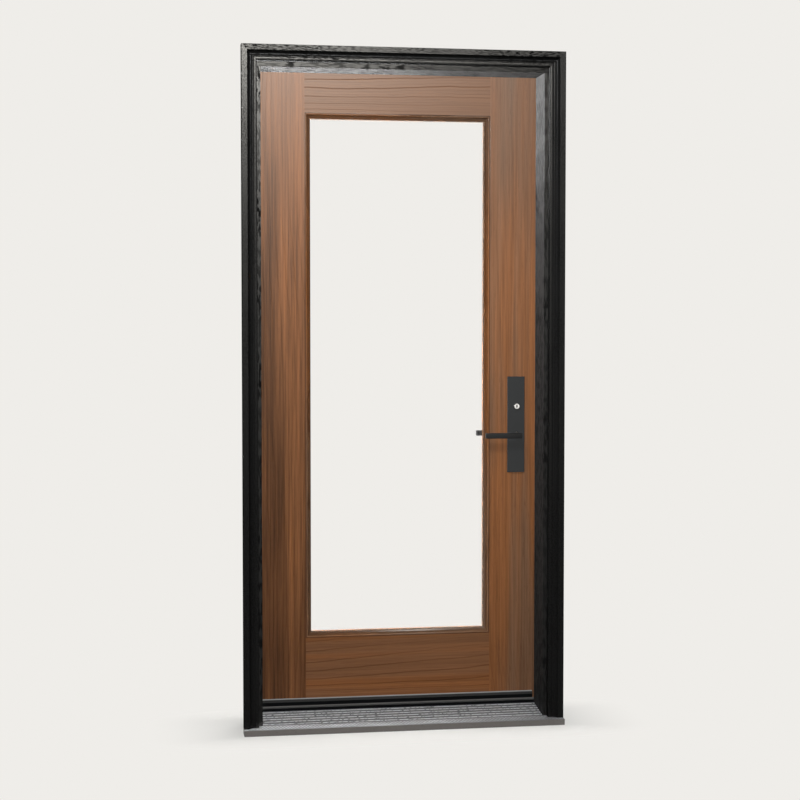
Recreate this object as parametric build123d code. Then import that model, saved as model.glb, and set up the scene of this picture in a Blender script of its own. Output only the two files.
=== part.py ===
from build123d import *
import math
import os

# Prehung fiberglass entrance door, inswing, hinged on the left as seen from outside.
# Millimetres. +Z up, +X to the right as seen from outside, +Y into the house.
# The origin is on the sill's underside, midway between the jambs, in the plane of the casing's back.

# Frame opening and jambs
clear_width = 889.0          # between the stops
clear_height = 2048.0        # floor line to the underside of the head
jamb_depth = 166.7
stop_thick = 12.7            # how far the stop stands proud of the rebate wall
jamb_wall = 19.05            # jamb thickness at the rebate

# Door slab
slab_thick = 44.45
hinge_gap = 3.0              # rebate wall to slab, at the hinge pins
lock_gap = 5.0               # rebate wall to slab, lock side
head_gap = 5.0               # head rebate to slab
bottom_gap = 5.0             # threshold cap to slab
lock_bevel = 3.0             # degrees off square on the lock edge
skin_thick = 2.0
stile_width = 38.0
top_rail_height = 38.0
bottom_rail_height = 60.0
groove_width = 1.0           # embossed stile and rail joint lines
groove_depth = 0.4

# Seal between stop and slab
seal_gap = 6.35              # stop face to slab face
seal_clear = 0.3
seal_width = 12.2
kerf_width = 2.4
kerf_depth = 8.0
kerf_inset = 3.0             # from the rebate wall
barb_clear = 0.15

# Outside casing moulding
moulding_width = 47.625
moulding_thick = 31.75
side_reveal = 12.7
head_reveal = 15.875
band_width = 16.5            # flat outer band
cove_width = 16.0
cove_sag = 2.2               # how far the cove dips below a straight slope
bead_height = 19.0           # moulding thickness at the foot of the bead
bead_step = 1.2              # quirk between cove and bead
bead_rise = 4.0

# Sill
nose_reach = 50.0            # sill front ahead of the casing's back plane
nose_height = 18.0
nose_rise = 2.5              # rise over the nose strip
nose_width = 45.25
deck_thick = 2.5
deck_rise = 17.2             # rise over the ribbed slope
rib_count = 6
rib_width = 6.0
rib_height = 1.5
rib_margin = 11.5            # slope ends to the first and last rib's middle
rib_clear = 0.3              # rib ends to the jambs
base_rear_height = 28.0

# Threshold cap
cap_above_deck = 10.5        # cap top over the deck's rear edge
cap_chamfer = 1.6
cap_flat = 42.0
cap_rear_drop = 6.5

# Glazed lite
lite_width = 594.7           # outside of the glazing frame
lite_top_margin = 129.4      # slab top to the glazing frame
lite_bottom_margin = 214.5   # slab bottom to the glazing frame
sight_margin = 17.8          # glazing frame's outer edge to the visible glass
glass_recess = 9.5           # slab face to glass face
glass_thick = 3.2
glass_inset = 8.0            # glazing frame's outer edge to the glass edge
spacer_width = 8.6
trim_groove_width = 2.4      # shadow line between the skin and the frame's bead
trim_groove_depth = 2.0
trim_bead_width = 3.6
trim_bead_proud = 0.8
trim_quirk = 1.6             # depth at the foot of the bead, on the glass side
cove_lip = 1.5               # thickness of the frame's lip on the glass
cove_hollow = 1.2            # how far the cove dips below a straight slope

# Butt hinges
hinge_height = 101.6
hinge_reach = 44.5           # pin to the leaf's far edge
leaf_thick = 2.5
knuckle_radius = 6.35
knuckle_count = 5
knuckle_gap = 0.3
knuckle_stand = 0.4          # slab face to knuckle
leaf_relief = 0.4            # leaf cut back round the other leaf's knuckles
pin_radius = 3.0
pin_play = 0.1
pin_head_radius = 5.2
pin_head_height = 3.0
pin_head_taper = 1.4
top_hinge_drop = 177.8       # slab top to the top hinge
bottom_hinge_rise = 279.4    # slab bottom to the bottom hinge

# Lock furniture
backset = 69.85              # lock edge to the spindle
lever_height = 908.5
cylinder_spacing = 92.0
plate_width = 55.0
plate_length = 308.0
plate_thick = 8.0
plate_below_lever = 121.0
plate_bevel = 0.8
lever_reach = 109.0          # spindle to the lever's tip
lever_tail = 8.6             # spindle to the lever's other end
lever_bar_height = 17.2
lever_bar_thick = 15.0
lever_projection = 60.0      # slab face to the lever's front
lever_bevel = 1.2
neck_radius = 8.5
neck_play = 0.4
neck_depth = 3.0             # how far the neck reaches into the slab
spindle_side = 8.0
spindle_socket = 14.0
spindle_bore = 13.0
cylinder_radius = 9.0
cylinder_proud = 11.0
cylinder_inner_proud = 3.0
cylinder_play = 0.2
cylinder_bevel = 0.8
plug_radius = 6.2
plug_play = 0.1
plug_length = 22.0
plug_end_play = 0.3
keyway_width = 2.2
keyway_height = 9.0
keyway_depth = 16.0
turn_base_radius = 11.0
turn_base_thick = 4.0
turn_wing_length = 34.0
turn_wing_width = 9.0
turn_wing_reach = 15.0
turn_bevel = 1.5
face_width = 24.0
face_length = 238.0
face_thick = 3.0
face_middle = 46.0           # lever axis up to the faceplate's middle
latch_width = 16.0
latch_length = 28.0
latch_proud = 0.6
bolt_width = 12.0
bolt_length = 38.0
strike_width = 30.0
strike_length = 210.0
strike_thick = 2.0
strike_corner = 4.0
strike_margin = 2.5          # strike opening beyond the latch and bolt
strike_pocket = 12.0

# Bottom weathering of the slab
drip_height = 22.0
drip_bottom_rise = 1.5       # slab bottom to the drip cap's lower edge
drip_reach = 9.0
drip_flat = 11.5             # height of its upright front
drip_lip = 2.5
drip_quirk_width = 1.2       # narrow channel between its top edge and the slab
drip_quirk_depth = 2.5
drip_side_clear = 5.5
sweep_margin = 4.0
sweep_base = 1.8
sweep_clear = 0.3
fin_count = 5
fin_thick = 1.4
sweep_end_clear = 1.0

# Places worked out from the sizes above
stop_x = clear_width / 2
wall_x = stop_x + stop_thick
jamb_x = wall_x + jamb_wall
head_wall_z = clear_height + stop_thick
head_top = head_wall_z + jamb_wall
inner_y = jamb_depth
face_y = inner_y - slab_thick
stop_y = face_y - seal_gap
casing_inner_x = stop_x + side_reveal
casing_x = casing_inner_x + moulding_width
casing_inner_z = clear_height + head_reveal
casing_top = casing_inner_z + moulding_width
nose_back_y = nose_width - nose_reach
nose_back_z = nose_height + nose_rise
deck_rear_z = nose_back_z + deck_rise
cap_top = deck_rear_z + cap_above_deck
slab_bottom = cap_top + bottom_gap
slab_top = head_wall_z - head_gap
slab_hinge_x = -wall_x + hinge_gap
slab_lock_x = wall_x - lock_gap
lite_x = lite_width / 2
lite_bottom = slab_bottom + lite_bottom_margin
lite_top = slab_top - lite_top_margin
lite_height = lite_top - lite_bottom
lock_x = slab_lock_x - backset
cylinder_z = lever_height + cylinder_spacing
pin_x = -wall_x + hinge_gap / 2
pin_y = inner_y + knuckle_stand + knuckle_radius
plate_front_y = face_y - plate_thick
plate_back_y = inner_y + plate_thick
through = 5.0                # how far a cutting solid runs past the faces it cuts


def block(x0, x1, y0, y1, z0, z1):
    """A rectangular solid between two corners."""
    middle = Pos((x0 + x1) / 2, (y0 + y1) / 2, (z0 + z1) / 2)
    return middle * Box(x1 - x0, y1 - y0, z1 - z0)


def rod(x, z, y0, y1, radius):
    """A round bar that runs from front to back."""
    bar = Rot(-90, 0, 0) * Cylinder(radius, y1 - y0)
    return Pos(x, (y0 + y1) / 2, z) * bar


def post(points, z0, z1):
    """A plan outline raised from one height to another."""
    face = make_face(Polyline(*points, close=True))
    return Pos(0, 0, z0) * extrude(face, amount=z1 - z0, dir=(0, 0, 1))


def rail(points, x0, x1):
    """A side-view outline, as (depth, height) points, run from left to right."""
    face = Plane.YZ * make_face(Polyline(*points, close=True))
    return Pos(x0, 0, 0) * extrude(face, amount=x1 - x0, dir=(1, 0, 0))


def panel(points, y0, y1):
    """A front-view outline, as (across, height) points, run from front to back."""
    upright = Plane(origin=(0, 0, 0), x_dir=(1, 0, 0), z_dir=(0, -1, 0))
    face = upright * make_face(Polyline(*points, close=True))
    return Pos(0, y0, 0) * extrude(face, amount=y1 - y0, dir=(0, 1, 0))


def one(shape):
    """The single solid of a shape."""
    solids = shape.solids()
    if len(solids) != 1:
        raise ValueError("expected one solid, found %d" % len(solids))
    return solids[0]


def ease(edges, radius):
    """Round the given edges of a solid."""
    return one(fillet(edges, radius))


def bevel(edges, length):
    """Bevel the given edges of a solid."""
    return one(chamfer(edges, length))


def lock_edge_x(y):
    """Where the bevelled lock edge lies at a depth."""
    return slab_lock_x - (inner_y - y) * math.tan(math.radians(lock_bevel))


# Frame

def deck_line(y):
    """Height of the sill deck's top surface at a depth."""
    if y <= nose_back_y:
        return nose_back_z + (y - nose_back_y) * nose_rise / nose_width
    return nose_back_z + (y - nose_back_y) * deck_rise / (stop_y - nose_back_y)


def sill_clearance():
    """The space that the sill takes under the jambs and the casing."""
    front = -nose_reach - through
    rear = jamb_depth + through
    outline = [(front, -through), (front, deck_line(front)), (nose_back_y, nose_back_z)]
    outline += [(stop_y, deck_rear_z), (stop_y, base_rear_height)]
    outline += [(rear, base_rear_height), (rear, -through)]
    return rail(outline, -casing_x - through, casing_x + through)


def head_outline():
    """Side view of the rebated head."""
    outline = [(0, clear_height), (0, head_top), (jamb_depth, head_top)]
    outline += [(jamb_depth, head_wall_z), (stop_y, head_wall_z), (stop_y, clear_height)]
    return outline


def jamb_head():
    """Rebated head, with a kerf for its seal."""
    head = rail(head_outline(), -jamb_x, jamb_x)
    top = head_wall_z - kerf_inset
    kerf = block(-wall_x, wall_x, stop_y - kerf_depth, stop_y + through, top - kerf_width, top)
    return one(head - kerf)


def jamb_side(side):
    """Rebated side jamb, coped over the sill and cut under the head; side is -1 or 1."""
    plan = [(side * jamb_x, 0), (side * jamb_x, jamb_depth), (side * wall_x, jamb_depth)]
    plan += [(side * wall_x, stop_y), (side * stop_x, stop_y), (side * stop_x, 0)]
    leg = post(plan, 0, head_top)
    near = side * (wall_x - kerf_inset - kerf_width)
    far = side * (wall_x - kerf_inset)
    kerf = block(min(near, far), max(near, far), stop_y - kerf_depth, stop_y + through, 0, clear_height)
    leg -= rail(head_outline(), -jamb_x - through, jamb_x + through)
    leg -= sill_clearance()
    leg -= kerf
    return leg


def jamb_hinge_side():
    """Hinge jamb with the recesses for its hinge leaves."""
    leg = jamb_side(-1)
    for z in hinge_heights():
        leg -= leaf_plate(-1, z)
    return one(leg)


def jamb_lock_side():
    """Lock jamb with the recess for the strike and the pockets behind it."""
    leg = jamb_side(1)
    leg -= strike_blank()
    for opening in strike_openings(strike_pocket):
        leg -= opening
    return one(leg)


def moulding_face(place):
    """Section of the casing; place(across, out) puts a section point on the drawing plane."""
    cove_end = band_width + cove_width
    bead_top = bead_height + bead_rise
    bead_middle = (cove_end + moulding_width) / 2
    cove_middle = band_width + cove_width / 2
    cove_out = (moulding_thick + bead_height + bead_step) / 2 - cove_sag
    outline = [
        Line(place(0, 0), place(0, moulding_thick)),
        Line(place(0, moulding_thick), place(band_width, moulding_thick)),
        ThreePointArc(
            place(band_width, moulding_thick),
            place(cove_middle, cove_out),
            place(cove_end, bead_height + bead_step),
        ),
        Line(place(cove_end, bead_height + bead_step), place(cove_end, bead_height)),
        ThreePointArc(
            place(cove_end, bead_height),
            place(bead_middle, bead_top),
            place(moulding_width, bead_height),
        ),
        Line(place(moulding_width, bead_height), place(moulding_width, 0)),
        Line(place(moulding_width, 0), place(0, 0)),
    ]
    return make_face(outline)


def brickmould_side(side):
    """Upright casing, mitred at the head and coped on the sill's nose."""
    face = moulding_face(lambda across, out: (side * (casing_x - across), -out))
    leg = extrude(face, amount=casing_top, dir=(0, 0, 1))
    mitre = [(side * casing_x, 0), (side * casing_x, casing_top)]
    mitre += [(side * casing_inner_x, casing_inner_z), (side * casing_inner_x, 0)]
    leg &= panel(mitre, -moulding_thick - through, through)
    return one(leg - sill_clearance())


def brickmould_head():
    """Head casing, mitred at both ends."""
    face = Plane.YZ * moulding_face(lambda across, out: (-out, casing_top - across))
    bar = Pos(-casing_x, 0, 0) * extrude(face, amount=2 * casing_x, dir=(1, 0, 0))
    mitre = [(-casing_x, casing_top), (casing_x, casing_top)]
    mitre += [(casing_inner_x, casing_inner_z), (-casing_inner_x, casing_inner_z)]
    return one(bar & panel(mitre, -moulding_thick - through, through))


def seal_face(place):
    """Section of the seal: a bulb with one round edge, and a barb for the kerf.

    place(across, back) takes the distance from the rebate wall and from the stop's face.
    """
    thick = seal_gap - seal_clear
    flat = seal_width - thick / 2
    near = kerf_inset + barb_clear
    far = kerf_inset + kerf_width - barb_clear
    tail = -kerf_depth + barb_clear
    points = [place(flat, thick), place(0, thick), place(0, 0), place(near, 0)]
    points += [place(near, tail), place(far, tail), place(far, 0), place(flat, 0)]
    bulb = ThreePointArc(place(flat, 0), place(seal_width, thick / 2), place(flat, thick))
    return make_face([Polyline(*points), bulb])


def weatherstrip_side(side):
    """Seal on a side jamb's stop, from the threshold cap to the head's seal."""
    face = seal_face(lambda across, back: (side * (wall_x - across), stop_y + back))
    return one(Pos(0, 0, cap_top) * extrude(face, amount=clear_height - cap_top, dir=(0, 0, 1)))


def weatherstrip_head():
    """Seal on the head's stop."""
    face = Plane.YZ * seal_face(lambda across, back: (stop_y + back, head_wall_z - across))
    return one(Pos(-wall_x, 0, 0) * extrude(face, amount=2 * wall_x, dir=(1, 0, 0)))


def sill_ends(piece):
    """Cut the sill's ends: full width under the casing, jamb width in the wall."""
    for side in (-1, 1):
        x0, x1 = sorted((side * jamb_x, side * (casing_x + through)))
        piece -= block(x0, x1, 0, jamb_depth + through, -through, cap_top)
    return piece


def sill_base():
    """Composite base under the deck and the threshold cap."""
    front = deck_thick - nose_reach
    outline = [(front, 0), (front, deck_line(front) - deck_thick)]
    outline += [(nose_back_y, nose_back_z - deck_thick), (stop_y, deck_rear_z - deck_thick)]
    outline += [(stop_y, base_rear_height), (jamb_depth, base_rear_height), (jamb_depth, 0)]
    return one(sill_ends(rail(outline, -casing_x, casing_x)))


def sill_rib(y):
    """One rounded rib along the deck's slope."""
    z = deck_line(y)
    half = rib_width / 2
    left = (y - half, deck_line(y - half))
    right = (y + half, deck_line(y + half))
    crown = ThreePointArc(left, (y, z + rib_height), right)
    foot = [right, (y + half, z - deck_thick / 2), (y - half, z - deck_thick / 2), left]
    face = Plane.YZ * make_face([crown, Polyline(*foot)])
    end = stop_x - rib_clear
    return Pos(-end, 0, 0) * extrude(face, amount=2 * end, dir=(1, 0, 0))


def sill_deck():
    """Extruded deck: upright front, nose strip and ribbed slope."""
    front = -nose_reach
    inner = front + deck_thick
    outline = [(front, 0), (front, nose_height), (nose_back_y, nose_back_z), (stop_y, deck_rear_z)]
    outline += [(stop_y, deck_rear_z - deck_thick), (nose_back_y, nose_back_z - deck_thick)]
    outline += [(inner, deck_line(inner) - deck_thick), (inner, 0)]
    deck = sill_ends(rail(outline, -casing_x, casing_x))
    first = nose_back_y + rib_margin
    pitch = (stop_y - rib_margin - first) / (rib_count - 1)
    for number in range(rib_count):
        deck += sill_rib(first + number * pitch)
    return one(deck)


def threshold_cap():
    """Black threshold between the rebate walls, level under the slab."""
    flat_end = stop_y + cap_flat
    outline = [(stop_y, base_rear_height), (stop_y, cap_top - cap_chamfer)]
    outline += [(stop_y + cap_chamfer, cap_top), (flat_end, cap_top)]
    outline += [(jamb_depth, cap_top - cap_rear_drop), (jamb_depth, base_rear_height)]
    return one(rail(outline, -wall_x, wall_x))


# Hinges

def hinge_heights():
    """Middle heights of the bottom, middle and top hinges."""
    bottom = slab_bottom + bottom_hinge_rise + hinge_height / 2
    top = slab_top - top_hinge_drop - hinge_height / 2
    return [bottom, (bottom + top) / 2, top]


def leaf_plate(side, z):
    """Flat plate of a leaf, let into the jamb for side -1 or into the slab for side 1."""
    x = -wall_x if side < 0 else slab_hinge_x
    x0, x1 = sorted((x, x + side * leaf_thick))
    half = hinge_height / 2
    return block(x0, x1, pin_y - hinge_reach, pin_y, z - half, z + half)


def knuckle(z, number, radius, spare):
    """One barrel length of a hinge; spare lengthens or shortens each of its ends."""
    step = hinge_height / knuckle_count
    middle = z - hinge_height / 2 + (number + 0.5) * step
    return Pos(pin_x, pin_y, middle) * Cylinder(radius, step + 2 * spare)


def hinge_leaf(side, z):
    """Leaf plate with its own knuckles, cut back round the other leaf's."""
    own = range(0 if side < 0 else 1, knuckle_count, 2)
    leaf = leaf_plate(side, z)
    for number in range(knuckle_count):
        if number not in own:
            leaf -= knuckle(z, number, knuckle_radius + leaf_relief, knuckle_gap / 2)
    for number in own:
        leaf += knuckle(z, number, knuckle_radius, -knuckle_gap / 2)
    return leaf


def pin_head(z, end):
    """Tapered button on the pin, above the knuckles for end 1 and below them for end -1."""
    middle = z + end * (hinge_height - knuckle_gap + pin_head_height) / 2
    button = Cone(pin_head_radius, pin_head_radius - pin_head_taper, pin_head_height)
    return Pos(pin_x, pin_y, middle) * Rot(90 - 90 * end, 0, 0) * button


def frame_leaf(z):
    """Hinge leaf on the jamb, with the pin held in its knuckles."""
    leaf = hinge_leaf(-1, z)
    leaf += Pos(pin_x, pin_y, z) * Cylinder(pin_radius, hinge_height - knuckle_gap)
    leaf += pin_head(z, 1)
    leaf += pin_head(z, -1)
    return one(leaf)


def door_leaf(z):
    """Hinge leaf on the slab, bored for the pin."""
    bore = Pos(pin_x, pin_y, z) * Cylinder(pin_radius + pin_play, hinge_height + 2 * through)
    return one(hinge_leaf(1, z) - bore)


# Slab

def slab_layer(y0, y1):
    """The slab's full outline between two depths, with its bevelled lock edge."""
    plan = [(slab_hinge_x, y0), (slab_hinge_x, y1), (lock_edge_x(y1), y1), (lock_edge_x(y0), y0)]
    return post(plan, slab_bottom, slab_top)


def lite_opening():
    """The opening cut through the slab for the glazed lite."""
    return block(-lite_x, lite_x, face_y - through, inner_y + through, lite_bottom, lite_top)


def lock_bores():
    """Bores through the slab for the spindle's necks and the cylinder."""
    front = face_y - through
    rear = inner_y + through
    spindle_hole = rod(lock_x, lever_height, front, rear, spindle_bore)
    cylinder_hole = rod(lock_x, cylinder_z, front, rear, cylinder_radius + neck_play)
    return spindle_hole + cylinder_hole


def joint_grooves(y0, y1):
    """The embossed lines where rails meet stiles, above and below the lite."""
    grooves = []
    for side in (-1, 1):
        x = side * lite_x
        for z0, z1 in ((slab_bottom - through, lite_bottom), (lite_top, slab_top + through)):
            grooves.append(block(x - groove_width / 2, x + groove_width / 2, y0, y1, z0, z1))
    return grooves


def skin(y0, y1, groove_y0, groove_y1):
    """One moulded skin between two depths, grooved on its outer face."""
    sheet = slab_layer(y0, y1) - lite_opening() - lock_bores()
    for groove in joint_grooves(groove_y0, groove_y1):
        sheet -= groove
    return sheet


def skin_exterior():
    """Outside skin."""
    return one(skin(face_y, face_y + skin_thick, face_y - through, face_y + groove_depth))


def skin_interior():
    """Inside skin, notched for the hinge leaves."""
    sheet = skin(inner_y - skin_thick, inner_y, inner_y - groove_depth, inner_y + through)
    for z in hinge_heights():
        sheet -= leaf_plate(1, z)
    return one(sheet)


def core_layer():
    """What lies between the skins."""
    return slab_layer(face_y + skin_thick, inner_y - skin_thick)


def stile_hinge():
    """Hinge edge member, let in for the leaves."""
    x1 = slab_hinge_x + stile_width
    stile = core_layer() & block(slab_hinge_x - through, x1, face_y, inner_y, slab_bottom, slab_top)
    for z in hinge_heights():
        stile -= leaf_plate(1, z)
    return one(stile)


def stile_lock():
    """Lock edge member, let in for the faceplate, the latch and the bolt."""
    x0 = slab_lock_x - stile_width
    stile = core_layer() & block(x0, slab_lock_x + through, face_y, inner_y, slab_bottom, slab_top)
    return one(stile - faceplate_blank() - latch_body() - bolt_body())


def rail_edge(z0, z1):
    """Edge member between the stiles."""
    x0 = slab_hinge_x + stile_width
    x1 = slab_lock_x - stile_width
    return one(block(x0, x1, face_y + skin_thick, inner_y - skin_thick, z0, z1))


def rail_top():
    """Top edge member."""
    return rail_edge(slab_top - top_rail_height, slab_top)


def rail_bottom():
    """Bottom edge member."""
    return rail_edge(slab_bottom, slab_bottom + bottom_rail_height)


def door_core():
    """Foam core round the lite, bored for the lock."""
    core = rail_edge(slab_bottom + bottom_rail_height, slab_top - top_rail_height)
    return one(core - lite_opening() - lock_bores())


# Glazed lite

def lite_ring(outer, inner, y0, y1):
    """A rectangular ring round the lite; outer and inner are insets from its outline."""
    ring = block(-lite_x + outer, lite_x - outer, y0, y1, lite_bottom + outer, lite_top - outer)
    cut = block(
        -lite_x + inner, lite_x - inner, y0 - through, y1 + through, lite_bottom + inner, lite_top - inner
    )
    return ring - cut


def glazing_face(place):
    """Section of the glazing frame: shadow groove, bead, quirk and cove down to the glass.

    place(inset, depth) takes the distance in from the frame's outline and from the skin's face.
    """
    bead_end = trim_groove_width + trim_bead_width
    bead_middle = trim_groove_width + trim_bead_width / 2
    half = slab_thick / 2
    cove_end = glass_recess - cove_lip
    bead = ThreePointArc(
        place(trim_groove_width, trim_groove_depth),
        place(bead_middle, -trim_bead_proud),
        place(bead_end, trim_quirk),
    )
    cove = ThreePointArc(
        place(bead_end, trim_quirk),
        place((bead_end + sight_margin) / 2, (trim_quirk + cove_end) / 2 + cove_hollow),
        place(sight_margin, cove_end),
    )
    rest = [place(sight_margin, cove_end), place(sight_margin, glass_recess)]
    rest += [place(glass_inset, glass_recess), place(glass_inset, half), place(0, half)]
    rest += [place(0, trim_groove_depth), place(trim_groove_width, trim_groove_depth)]
    return make_face([bead, cove, Polyline(*rest)])


def glazing_bar(start, length, flip, turn):
    """One mitred bar of the glazing frame, drawn along +X from its start and then turned."""
    skin_y = face_y if flip > 0 else inner_y
    face = Plane.YZ * glazing_face(lambda inset, depth: (skin_y + flip * depth, -inset))
    bar = extrude(face, amount=length, dir=(1, 0, 0))
    mitre = [(0, 0), (length, 0), (length - sight_margin, -sight_margin), (sight_margin, -sight_margin)]
    bar &= panel(mitre, face_y - through, inner_y + through)
    return Pos(start[0], 0, start[1]) * Rot(0, turn, 0) * bar


def glazing_frame(flip):
    """Four mitred bars joined into one moulded frame; flip is 1 outside and -1 inside."""
    frame = glazing_bar((-lite_x, lite_top), lite_width, flip, 0)
    frame += glazing_bar((lite_x, lite_top), lite_height, flip, 90)
    frame += glazing_bar((lite_x, lite_bottom), lite_width, flip, 180)
    frame += glazing_bar((-lite_x, lite_bottom), lite_height, flip, 270)
    return one(frame)


def glazing_frame_exterior():
    """Outside glazing frame."""
    return glazing_frame(1)


def glazing_frame_interior():
    """Inside glazing frame."""
    return glazing_frame(-1)


def pane(y0):
    """One sheet of the sealed glass unit."""
    x = lite_x - glass_inset
    return one(block(-x, x, y0, y0 + glass_thick, lite_bottom + glass_inset, lite_top - glass_inset))


def glass_exterior():
    """Outer sheet of glass."""
    return pane(face_y + glass_recess)


def glass_interior():
    """Inner sheet of glass."""
    return pane(inner_y - glass_recess - glass_thick)


def glass_spacer():
    """Spacer between the two sheets, along their edges."""
    front = face_y + glass_recess + glass_thick
    rear = inner_y - glass_recess - glass_thick
    return one(lite_ring(glass_inset, glass_inset + spacer_width, front, rear))


# Lock furniture

def escutcheon(y0, y1, face_order):
    """Long plate with holes for the lever's neck and the cylinder, bevelled round its face.

    face_order is 0 where the shown face is the nearer one in depth and -1 where it is the farther.
    """
    z0 = lever_height - plate_below_lever
    half = plate_width / 2
    plate = block(lock_x - half, lock_x + half, y0, y1, z0, z0 + plate_length)
    plate = bevel(plate.faces().sort_by(Axis.Y)[face_order].edges(), plate_bevel)
    plate -= rod(lock_x, lever_height, y0 - through, y1 + through, neck_radius + neck_play)
    plate -= rod(lock_x, cylinder_z, y0 - through, y1 + through, cylinder_radius + cylinder_play)
    return one(plate)


def escutcheon_exterior():
    """Outside plate."""
    return escutcheon(plate_front_y, face_y, 0)


def escutcheon_interior():
    """Inside plate."""
    return escutcheon(inner_y, plate_back_y, -1)


def spindle():
    """Square bar that joins the two levers through the slab."""
    half = spindle_side / 2
    front = face_y + neck_depth - spindle_socket
    rear = inner_y - neck_depth + spindle_socket
    return one(block(lock_x - half, lock_x + half, front, rear, lever_height - half, lever_height + half))


def lever(flip):
    """Square-ended flat-bar lever with a round neck; flip is 1 outside and -1 inside."""
    skin_y = face_y if flip > 0 else inner_y
    front = skin_y - flip * lever_projection
    behind = front + flip * lever_bar_thick
    root = skin_y + flip * neck_depth
    half = lever_bar_height / 2
    y0, y1 = sorted((front, behind))
    bar = block(lock_x - lever_reach, lock_x + lever_tail, y0, y1, lever_height - half, lever_height + half)
    bar = bevel(bar.edges(), lever_bevel)
    y0, y1 = sorted((behind - flip * lever_bar_thick / 2, root))
    neck = rod(lock_x, lever_height, y0, y1, neck_radius)
    return one(bar + neck - spindle())


def lever_exterior():
    """Outside lever."""
    return lever(1)


def lever_interior():
    """Inside lever."""
    return lever(-1)


def lock_cylinder():
    """Cylinder through the slab, bored at its outside end for the key plug."""
    front = plate_front_y - cylinder_proud
    rear = plate_back_y + cylinder_inner_proud
    body = rod(lock_x, cylinder_z, front, rear, cylinder_radius)
    body = bevel(body.faces().sort_by(Axis.Y)[0].edges(), cylinder_bevel)
    bore_end = front + plug_length + plug_end_play
    return one(body - rod(lock_x, cylinder_z, front - through, bore_end, plug_radius + plug_play))


def key_plug():
    """Plug in the cylinder with its keyway."""
    front = plate_front_y - cylinder_proud
    plug = rod(lock_x, cylinder_z, front, front + plug_length, plug_radius)
    slot = Box(keyway_width, keyway_depth + through, keyway_height)
    slot = Pos(lock_x, front + (keyway_depth - through) / 2, cylinder_z) * slot
    return one(plug - slot)


def thumbturn():
    """Inside turn: a round base with an upright wing."""
    base_y = plate_back_y + cylinder_inner_proud
    base = rod(lock_x, cylinder_z, base_y, base_y + turn_base_thick, turn_base_radius)
    middle_y = base_y + (turn_base_thick + turn_wing_reach) / 2
    wing = Pos(lock_x, middle_y, cylinder_z) * Box(turn_wing_width, turn_wing_reach, turn_wing_length)
    wing = bevel(wing.faces().sort_by(Axis.Y)[-1].edges(), turn_bevel)
    return one(base + wing)


def on_lock_edge(shape):
    """Set a shape, drawn with its face on X = 0 about the origin, on the bevelled lock edge."""
    middle_y = (face_y + inner_y) / 2
    middle_z = lever_height + face_middle
    return Pos(lock_edge_x(middle_y), middle_y, middle_z) * Rot(0, 0, -lock_bevel) * shape


def latch_places():
    """Middle heights of the latch and the bolt, from the faceplate's middle."""
    return (-face_middle + 8.0, cylinder_spacing - face_middle - 12.0)


def faceplate_blank():
    """The faceplate's outline, also the recess for it."""
    return on_lock_edge(Pos(-face_thick / 2, 0, 0) * Box(face_thick, face_width, face_length))


def latch_body():
    """Latch head, drawn back flush with the faceplate."""
    depth = stile_width / 2
    head = Pos((latch_proud - depth) / 2, 0, latch_places()[0])
    return on_lock_edge(head * Box(depth + latch_proud, latch_width, latch_length))


def bolt_body():
    """Bolt head, drawn back flush with the faceplate."""
    depth = stile_width / 2
    head = Pos((latch_proud - depth) / 2, 0, latch_places()[1])
    return on_lock_edge(head * Box(depth + latch_proud, bolt_width, bolt_length))


def lock_faceplate():
    """Faceplate with the latch and bolt heads in it."""
    return one(faceplate_blank() + latch_body() + bolt_body())


def strike_blank():
    """The strike's plate without its openings, also the recess for it."""
    y = (face_y + inner_y) / 2
    z = lever_height + face_middle
    half_y = strike_width / 2
    half_z = strike_length / 2
    plate = block(wall_x, wall_x + strike_thick, y - half_y, y + half_y, z - half_z, z + half_z)
    return ease(plate.edges().filter_by(Axis.X), strike_corner)


def strike_openings(depth):
    """The spaces behind and through the strike for the latch and the bolt."""
    latch_z, bolt_z = latch_places()
    openings = []
    for place, width, length in ((latch_z, latch_width, latch_length), (bolt_z, bolt_width, bolt_length)):
        cut = Box(depth + through, width + 2 * strike_margin, length + 2 * strike_margin)
        middle_x = wall_x + (depth - through) / 2
        middle_z = lever_height + face_middle + place
        openings.append(Pos(middle_x, (face_y + inner_y) / 2, middle_z) * cut)
    return openings


def strike_plate():
    """Strike on the lock jamb."""
    plate = strike_blank()
    for opening in strike_openings(strike_pocket):
        plate -= opening
    return one(plate)


# Bottom weathering

def drip_cap():
    """Sloped and lipped moulding on the slab's outside face, just above the threshold."""
    z0 = slab_bottom + drip_bottom_rise
    z1 = z0 + drip_height
    front = face_y - drip_reach
    quirk_y = face_y - drip_quirk_width
    outline = [(face_y, z0 + drip_lip), (face_y, z1 - drip_quirk_depth), (quirk_y, z1 - drip_quirk_depth)]
    outline += [(quirk_y, z1), (front, z0 + drip_flat), (front, z0)]
    outline += [(front + drip_lip, z0), (front + drip_lip, z0 + drip_lip)]
    end = stop_x - drip_side_clear
    return one(rail(outline, -end, end))


def door_sweep():
    """Seal under the slab, with fins that end just above the threshold cap."""
    y0 = face_y + sweep_margin
    y1 = inner_y - sweep_margin
    x0 = slab_hinge_x + sweep_end_clear
    x1 = lock_edge_x(y0) - sweep_end_clear
    z0 = slab_bottom - sweep_base
    sweep = block(x0, x1, y0, y1, z0, slab_bottom)
    pitch = (y1 - y0 - fin_thick) / (fin_count - 1)
    for number in range(fin_count):
        fin_y = y0 + number * pitch
        sweep += block(x0, x1, fin_y, fin_y + fin_thick, cap_top + sweep_clear, z0)
    return one(sweep)


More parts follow.
